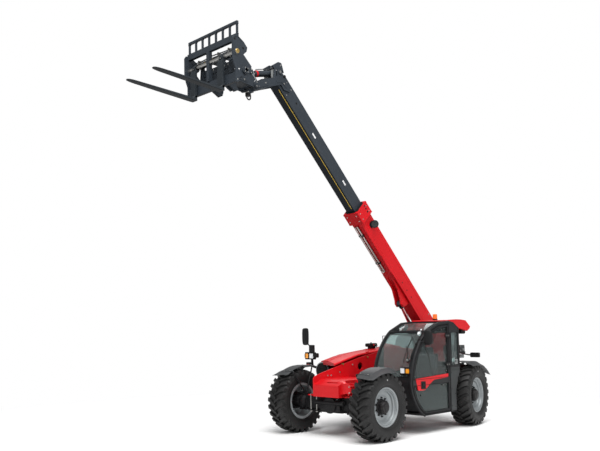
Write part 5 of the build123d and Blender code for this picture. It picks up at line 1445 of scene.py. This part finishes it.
B.cyl((1.02, 0, 0.070), (1.02, 0, 0.094), 0.014, n=18)
B.object("lift_cylinder_barrel_skin", "lift_cylinder_barrel", bevel=0.001, seg=1, slot="cylinder_paint", replaces=["lift_barrel"], matrix=LIFT)
B = Build("chrome")
B.cyl((0.770, 0, 0), (L_LIFT - 0.056, 0, 0), 0.0355, n=48)
B.use("steel")
B.revolve([(0.760, 0), (0.760, 0.057), (0.800, 0.057), (0.802, 0.036), (0.802, 0)], (0, 0, 0), (1, 0, 0), 40)
B.revolve([(L_LIFT - 0.105, 0.0356), (L_LIFT - 0.100, 0.046), (L_LIFT - 0.040, 0.052), (L_LIFT - 0.035, 0.0), (L_LIFT - 0.105, 0.0)], (0, 0, 0), (1, 0, 0), 40)
B.revolve([(-0.040, 0.0), (-0.040, 0.055), (-0.036, 0.058), (0.036, 0.058), (0.040, 0.055), (0.040, 0.0)], (L_LIFT, 0, 0), (0, 1, 0), 40)
B.object("lift_cylinder_rod_skin", "lift_cylinder_rod", bevel=0.001, seg=1, slot="chrome_rod", replaces=["lift_rod"], matrix=LIFT)

# ------------------------------------------------------------------------------------------------ tilt cylinder
TILT = cyl_frame((2.800, 6.285), (3.520, 6.115))
L_TILT = math.hypot(0.720, 0.170)
B = Build("steel")
B.revolve([(0.030, 0), (0.030, 0.050), (0.045, 0.055), (0.075, 0.055), (0.080, 0.0525), (0.420, 0.0525), (0.426, 0.0558), (0.445, 0.0558), (0.446, 0.0)], (0, 0, 0), (1, 0, 0), 44)
B.use("red")
B.revolve([(0.445, 0.0265), (0.445, 0.0562), (0.470, 0.0562), (0.478, 0.053), (0.478, 0.0265)], (0, 0, 0), (1, 0, 0), 44, closed=True)
B.use("steel")
B.revolve([(0.478, 0.0265), (0.478, 0.050), (0.489, 0.050), (0.494, 0.046), (0.494, 0.0265)], (0, 0, 0), (1, 0, 0), 44, closed=True)
B.revolve([(-0.040, 0.0225), (-0.040, 0.039), (-0.036, 0.042), (0.036, 0.042), (0.040, 0.039), (0.040, 0.0225)], (0, 0, 0), (0, 1, 0), 36, closed=True)
B.use("white")
B.revolve([(0.300, 0.0526), (0.300, 0.0534), (0.395, 0.0534), (0.395, 0.0526)], (0, 0, 0), (1, 0, 0), 20, start=0.35, turn=0.9)
B.use("pipe")
B.tube([(0.085, 0.020, 0.066), (0.14, 0.020, 0.070), (0.38, 0.020, 0.070), (0.455, 0.020, 0.066)], 0.008, 10)
B.use("zinc")
B.cyl((0.085, 0.020, 0.045), (0.085, 0.020, 0.074), 0.011, n=16)
B.cyl((0.460, 0.020, 0.045), (0.460, 0.020, 0.074), 0.011, n=16)
B.object("tilt_cylinder_barrel_skin", "tilt_cylinder_barrel", bevel=0.001, seg=1, slot="cylinder_paint", replaces=["tilt_barrel"], matrix=TILT)
B = Build("chrome")
B.cyl((0.262, 0, 0), (L_TILT - 0.038, 0, 0), 0.0255, n=40)
B.use("steel")
B.revolve([(L_TILT - 0.043, 0.0), (L_TILT - 0.043, 0.0275), (L_TILT - 0.040, 0.034), (L_TILT - 0.028, 0.036), (L_TILT - 0.025, 0.0)], (0, 0, 0), (1, 0, 0), 36)
B.revolve([(-0.036, 0.0), (-0.036, 0.037), (-0.033, 0.040), (0.033, 0.040), (0.036, 0.037), (0.036, 0.0)], (L_TILT, 0, 0), (0, 1, 0), 36)
B.object("tilt_cylinder_rod_skin", "tilt_cylinder_rod", bevel=0.001, seg=1, slot="chrome_rod", replaces=["tilt_rod"], matrix=TILT)

# ------------------------------------------------------------------------------------------------ quick hitch
B = Build("steel")
for s in (-1, 1):
    y0, y1 = sorted((s * 0.163, s * 0.169))
    B.prism([(3.600, 5.915), (3.780, 5.930), (3.850, 5.900), (3.900, 5.960), (3.900, 6.100), (3.850, 6.240), (3.800, 6.250), (3.640, 6.180)], "xz", y0, y1)
    B.cyl((3.704, s * 0.168, 6.092), (3.704, s * 0.186, 6.092), 0.030, n=28)
    B.cyl((3.400, s * 0.180, 5.925), (3.400, s * 0.188, 5.925), 0.040, n=28)
    B.cyl((3.520, s * 0.181, 6.115), (3.520, s * 0.188, 6.115), 0.030, n=28)
B.use("zinc")
for s in (-1, 1):
    B.revolve([(0, 0), (0, 0.040), (0.012, 0.039), (0.022, 0.030), (0.028, 0.015), (0.029, 0)], (3.606, s * 0.164, 6.116), (0, s, 0), 28)
    for x, z in ((3.400, 5.958), (3.400, 5.892), (3.520, 6.139), (3.520, 6.091)):
        B.bolt((x, s * 0.187, z), (0, s, 0), 0.008, 0.005)
    for x, z in ((3.66, 5.95), (3.84, 5.96)):
        B.bolt((x, s * 0.169, z), (0, s, 0), 0.010, 0.007)
B.use("brass")
for s in (-1, 1):
    B.cyl((3.771, s * 0.168, 6.100), (3.771, s * 0.182, 6.100), 0.012, n=18)
    B.box(4.046, 4.064, s * 0.30 - 0.02, s * 0.30 + 0.02, 5.850, 5.885)
B.cyl((3.990, -0.445, 5.96), (3.990, -0.470, 5.96), 0.022, n=20)
B.use("plastic")
# latch cylinder, hose couplings and their block at the front of the hitch body
B.use("steel")
B.cyl((4.030, -0.425, 5.985), (4.030, 0.245, 5.985), 0.034, n=28)
B.use("chrome")
B.cyl((4.030, 0.245, 5.985), (4.030, 0.425, 5.985), 0.016, n=24)
B.use("brass")
for y in (-0.34, -0.20, -0.06, 0.09):
    B.cyl((4.060, y, 5.835), (4.092, y, 5.835), 0.013, n=18)
    B.revolve([(0, 0), (0, 0.018), (0.010, 0.018), (0.010, 0)], (4.060, y, 5.835), (1, 0, 0), 6)
B.use("zinc")
for y in (-0.40, -0.27, -0.13, 0.01, 0.14, 0.22):
    B.bolt((4.059, y, 6.085), (1, 0, 0), 0.010, 0.007)
    B.bolt((4.059, y, 5.905), (1, 0, 0), 0.009, 0.006)
B.use("steel")
B.box(4.058, 4.070, -0.41, 0.23, 6.030, 6.055)
B.prism([(3.832, 5.724), (3.899, 5.690), (4.055, 5.770), (4.052, 5.800), (3.905, 5.830)], "xz", 0.168, 0.215)
B.prism([(3.832, 5.724), (3.899, 5.690), (4.055, 5.770), (4.052, 5.800), (3.905, 5.830)], "xz", -0.215, -0.168)
B.object("quick_hitch_details", "carriage", bevel=0.0015, seg=1, slot="boom_steel")

# link on the left of the hitch, its light edge and dark face
# the grey rim round the link is a painted highlight along its edges
B = Build("grey")
B.prism([(3.515, 6.100), (3.492, 6.108), (3.380, 5.985), (3.398, 5.972)], "xz", 0.142, 0.172)
B.use("steel")
B.prism([(3.505, 6.090), (3.470, 6.105), (3.368, 5.990), (3.392, 5.965)], "xz", 0.145, 0.168)
B.use("white")
B.prism([(3.440, 5.955), (3.452, 5.962), (3.418, 5.990), (3.405, 5.982)], "xz", 0.164, 0.170)
B.object("hitch_link", "carriage", bevel=0.0015, seg=1, slot="boom_steel")

# hose bundle and latch bar between the carriage bars: clipped steel pipes with brass ends
B = Build("pipe")
for k, (x, z, r) in enumerate(((4.085, 6.215, 0.012), (4.100, 6.245, 0.010), (4.070, 6.275, 0.013), (4.112, 6.185, 0.009), (4.095, 6.300, 0.010))):
    y0, y1 = (-0.560, 0.555) if k % 2 == 0 else (-0.42, 0.545)
    wav = 0.010 if k % 2 else -0.008
    B.tube([(x, y0, z), (x, y0 + 0.22, z + wav), (x, -0.10, z - wav), (x, 0.22, z + wav), (x, y1, z)], r, 10)
B.use("brass")
for y in (-0.50, -0.33, -0.14, 0.12, 0.36, 0.50):
    B.revolve([(0, 0.0), (0, 0.020), (0.022, 0.020), (0.022, 0.0)], (4.085, y, 6.215), (0, 1, 0), 6)
    B.revolve([(0, 0.0), (0, 0.017), (0.018, 0.017), (0.018, 0.0)], (4.100, y + 0.03, 6.245), (0, 1, 0), 6)
B.use("zinc")
for y in (-0.44, -0.20, 0.05, 0.30):
    B.box(4.060, 4.120, y - 0.012, y + 0.012, 6.180, 6.315)
B.use("steel")
B.box(4.020, 4.060, -0.555, 0.555, 6.262, 6.300)
B.prism([(3.990, 5.930), (4.062, 5.930), (4.075, 5.990), (4.075, 6.100), (4.050, 6.150), (3.990, 6.150)], "xz", 0.250, 0.330)
B.prism([(3.990, 5.930), (4.062, 5.930), (4.075, 5.990), (4.075, 6.100), (4.050, 6.150), (3.990, 6.150)], "xz", -0.42, -0.36)
B.object("carriage_pipes", "carriage", bevel=0.001, seg=1, slot="pipe_steel")

# ------------------------------------------------------------------------------------------------ carriage and forks
B = Build("steel")
for s in (-1, 1):
    yo = s * 0.600
    y0, y1 = sorted((yo - s * 0.001, yo + s * 0.005))
    B.strip([(4.215, 6.090), (4.285, 6.090), (4.285, 6.345), (4.258, 6.385), (4.178, 6.398), (4.075, 6.330), (4.140, 6.190)],
            [(4.225, 6.112), (4.272, 6.112), (4.272, 6.338), (4.250, 6.372), (4.184, 6.383), (4.100, 6.328), (4.152, 6.202)], "xz", y0, y1)
    B.cyl((4.040, s * 0.624, 5.890), (4.040, s * 0.640, 5.890), 0.052, n=32)
B.use("plastic")
for s in (-1, 1):
    yo = s * 0.600
    for x0, x1, z0, z1 in ((4.228, 4.262, 6.325, 6.352), (4.058, 4.092, 6.218, 6.246)):
        B.box(x0, x1, *sorted((yo, yo + s * 0.0025)), z0, z1)
B.use("brass")
for s in (-1, 1):
    B.revolve([(0, 0), (0, 0.034), (0.010, 0.036), (0.018, 0.030), (0.020, 0)], (4.206, s * 0.613, 6.153), (0, s, 0), 28)
B.use("white")
for s in (-1, 1):
    B.cyl((4.164, s * 0.6, 5.886), (4.164, s * 0.603, 5.886), 0.012, n=18)
B.use("zinc")
for s in (-1, 1):
    for k in range(4):
        t = math.pi / 4 + k * math.pi / 2
        B.bolt((4.040 + 0.040 * math.cos(t), s * 0.6395, 5.890 + 0.040 * math.sin(t)), (0, s, 0), 0.007, 0.005)
    for x, z in ((4.19, 5.72), (3.96, 5.93)):
        B.bolt((x, s * 0.600, z), (0, s, 0), 0.008, 0.005)
B.use("steel")
for i in range(8):
    y = -0.6 + 0.015 + i * (1.2 - 0.030) / 7
    for z in (6.436, 6.594):
        B.box(4.163, 4.197, y - 0.021, y + 0.021, z - 0.006, z + 0.006)
for y in (-0.5, -0.22, 0.10, 0.42):
    B.box(4.2145, 4.222, y - 0.03, y + 0.03, 6.345, 6.415)
for i in range(24):
    y = -0.56 + i * 0.0487
    B.box(4.214, 4.2185, y - 0.006, y + 0.006, 5.700, 5.724)
B.object("carriage_details", "carriage", bevel=0.001, seg=1, slot="boom_steel")

for name, y in (("right", -0.400), ("left", 0.272)):
    B = Build("fork")
    tip = 5.525
    w = 0.062
    prof = [(4.275, 5.6005), (4.9, 5.6200), (5.35, 5.6635), (5.515, 5.6725)]
    # blade: tapered in plan to a rounded point, thinning toward the tip
    rows = []
    for x, zb, zt, k in ((4.2285, 5.6006, 5.6890, 1.0), (4.262, 5.6006, 5.6900, 1.0), (4.278, 5.6008, 5.6800, 1.0), (4.303, 5.6016, 5.6455, 1.0), (4.60, 5.6180, 5.6550, 1.0), (4.90, 5.6345, 5.6645, 1.0), (5.20, 5.6525, 5.6735, 1.0), (5.38, 5.6635, 5.6790, 0.99),
                         (5.45, 5.6680, 5.6812, 0.90), (5.495, 5.6708, 5.6826, 0.72), (5.515, 5.6720, 5.6832, 0.50), (5.5235, 5.6730, 5.6834, 0.28)):
        W = w * k - 0.0005
        e = min(0.005, (zt - zb) * 0.3)
        ring = [(x, y - W, zb + e), (x, y - W + e, zb), (x, y + W - e, zb), (x, y + W, zb + e), (x, y + W, zt - e), (x, y + W - e, zt), (x, y - W + e, zt), (x, y - W, zt - e)]
        rows.append(ring + [ring[0]])
    B.skin(rows)
    # shank: rounded heel, tapering top, hook ring
    B.prism([(4.2285, 5.6450), (4.2725, 5.6450), (4.2725, 6.060), (4.262, 6.095), (4.2285, 6.100)], "xz", y - 0.0615, y + 0.0615)
    B.object(f"fork_{name}_forged", "carriage", bevel=0.0035, seg=2, angle=40, slot="fork_steel", replaces=[f"fork_{name}"])
    B = Build("fork")
    B.revolve([(-0.0415, 0.0256), (-0.0415, 0.042), (-0.036, 0.0455), (0.036, 0.0455), (0.0415, 0.042), (0.0415, 0.0256)], (4.206, y, 6.153), (0, 1, 0), 36, closed=True)
    B.prism([(4.170, 6.090), (4.256, 6.090), (4.256, 6.140), (4.235, 6.185), (4.180, 6.185), (4.165, 6.150)], "xz", y - 0.0415, y - 0.028)
    B.prism([(4.170, 6.090), (4.256, 6.090), (4.256, 6.140), (4.235, 6.185), (4.180, 6.185), (4.165, 6.150)], "xz", y + 0.028, y + 0.0415)
    B.use("zinc")
    B.cyl((4.256, y, 6.12), (4.266, y, 6.12), 0.012, n=18)
    B.object(f"fork_{name}_hanger", "carriage", bevel=0.001, seg=1, slot="fork_steel")


# ------------------------------------------------------------------------------------------------ camera, floor and light
def camera():
    cam_data = bpy.data.cameras.new("camera")
    cam = bpy.data.objects.new("camera", cam_data)
    bpy.context.scene.collection.objects.link(cam)
    yaw, pitch, roll = 3.95446077, 0.0695336492, -0.0159577313
    f = Vector((math.cos(yaw) * math.cos(pitch), math.sin(yaw) * math.cos(pitch), math.sin(pitch)))
    r = f.cross(Vector((0, 0, 1))).normalized()
    u = r.cross(f)
    r2 = math.cos(roll) * r + math.sin(roll) * u
    u2 = -math.sin(roll) * r + math.cos(roll) * u
    m = Matrix((r2, u2, -f)).transposed().to_4x4()
    m.translation = Vector((11.4835921 - X_MID, 8.73121234, 1.93053652))
    cam.matrix_world = m
    cam_data.sensor_width = 36
    cam_data.lens = 734.352385 / 600 * 36
    cam_data.shift_x = (300 - 260.351257) / 600
    cam_data.shift_y = (277.633819 - 225.5) / 600
    cam_data.clip_end = 200
    bpy.context.scene.camera = cam


def floor():
    B = Build("floor")
    n = 24
    grid = [[((i - n / 2) * 3.2, (j - n / 2) * 3.2, 0) for i in range(n + 1)] for j in range(n + 1)]
    rows = [[B.bm.verts.new(p) for p in row] for row in grid]
    for a, b in zip(rows, rows[1:]):
        for i in range(n):
            B.bm.faces.new((a[i], a[i + 1], b[i + 1], b[i]))
    me = bpy.data.meshes.new("floor")
    bmesh.ops.transform(B.bm, matrix=Matrix.Translation((0, 0, -0.0005)), verts=B.bm.verts)
    B.bm.to_mesh(me)
    B.bm.free()
    me.materials.append(MAT["floor"])
    ob = bpy.data.objects.new("floor", me)
    bpy.context.scene.collection.objects.link(ob)


MAT["floor"] = paint("studio_floor", (0.90, 0.90, 0.90), (0.89, 0.89, 0.89), rough=0.75, dusty=0.0, grain=30, grain_depth=0.0001, spec=0.2)


def far_floor():
    """The floor runs out to the backdrop's own brightness, so that no horizon shows."""
    m = MAT["floor"]
    nt = m.node_tree
    out = next(x for x in nt.nodes if x.type == "OUTPUT_MATERIAL")
    shader = out.inputs[0].links[0].from_socket
    geo = nt.nodes.new("ShaderNodeNewGeometry")
    dist = nt.nodes.new("ShaderNodeVectorMath")
    dist.operation = "LENGTH"
    nt.links.new(geo.outputs["Position"], dist.inputs[0])
    e = nt.nodes.new("ShaderNodeEmission")
    e.inputs["Color"].default_value = (1, 1, 1, 1)
    e.inputs["Strength"].default_value = BACKDROP
    mix = nt.nodes.new("ShaderNodeMixShader")
    nt.links.new(ramp(nt, dist.outputs["Value"], 3.6, 9.5, 0, 1), mix.inputs[0])
    nt.links.new(shader, mix.inputs[1])
    nt.links.new(e.outputs[0], mix.inputs[2])
    nt.links.new(mix.outputs[0], out.inputs[0])


BACKDROP = 1.0
far_floor()


def light(name, loc, target, size, power, color=(1, 1, 1)):
    data = bpy.data.lights.new(name, "AREA")
    data.shape = "RECTANGLE"
    data.size, data.size_y = size
    data.energy = power
    data.color = color
    ob = bpy.data.objects.new(name, data)
    bpy.context.scene.collection.objects.link(ob)
    ob.location = loc
    ob.rotation_euler = (Vector(target) - Vector(loc)).to_track_quat("-Z", "Y").to_euler()


def studio():
    w = bpy.data.worlds.new("studio")
    bpy.context.scene.world = w
    w.use_nodes = True
    nt = w.node_tree
    bg = nt.nodes["Background"]
    tc = nt.nodes.new("ShaderNodeTexCoord")
    sep = nt.nodes.new("ShaderNodeSeparateXYZ")
    nt.links.new(tc.outputs["Generated"], sep.inputs[0])
    col = mix_color(nt, ramp(nt, sep.outputs[2], -0.1, 0.75, 0, 1), (0.80, 0.81, 0.83), (1.0, 1.0, 1.0))
    lp = nt.nodes.new("ShaderNodeLightPath")
    nt.links.new(mix_color(nt, lp.outputs["Is Camera Ray"], col, (1.0, 1.0, 1.0)), bg.inputs["Color"])
    nt.links.new(ramp(nt, lp.outputs["Is Camera Ray"], 0, 1, WORLD, BACKDROP), bg.inputs["Strength"])
    light("key", (8.0, 6.5, 12.0), (-0.5, 0.0, 1.4), (8, 8), KEY, (1.0, 0.99, 0.97))
    light("front", (13.0, 1.0, 3.0), (0, 0, 1.2), (6, 4), FRONT, (1, 1, 1))
    light("side", (-1.0, 13.0, 6.0), (-0.5, 0, 2.0), (10, 6), SIDE, (0.97, 0.98, 1.0))
    light("back", (-10.0, -6.0, 8.0), (-1.0, 0, 2.0), (6, 5), BACK, (1, 1, 1))
    data = bpy.data.lights.new("sky", "SUN")
    data.energy = SUN
    data.angle = math.radians(40)
    ob = bpy.data.objects.new("sky", data)
    bpy.context.scene.collection.objects.link(ob)
    ob.rotation_euler = Vector((-0.22, -0.30, -1.0)).to_track_quat("-Z", "Y").to_euler()


WORLD, KEY, FRONT, SIDE, BACK, SUN = 0.36, 900, 60, 330, 160, 2.4
camera()
floor()
studio()
sc = bpy.context.scene
sc.view_settings.view_transform = "Standard"
sc.view_settings.look = "None"
sc.view_settings.exposure = 0.0
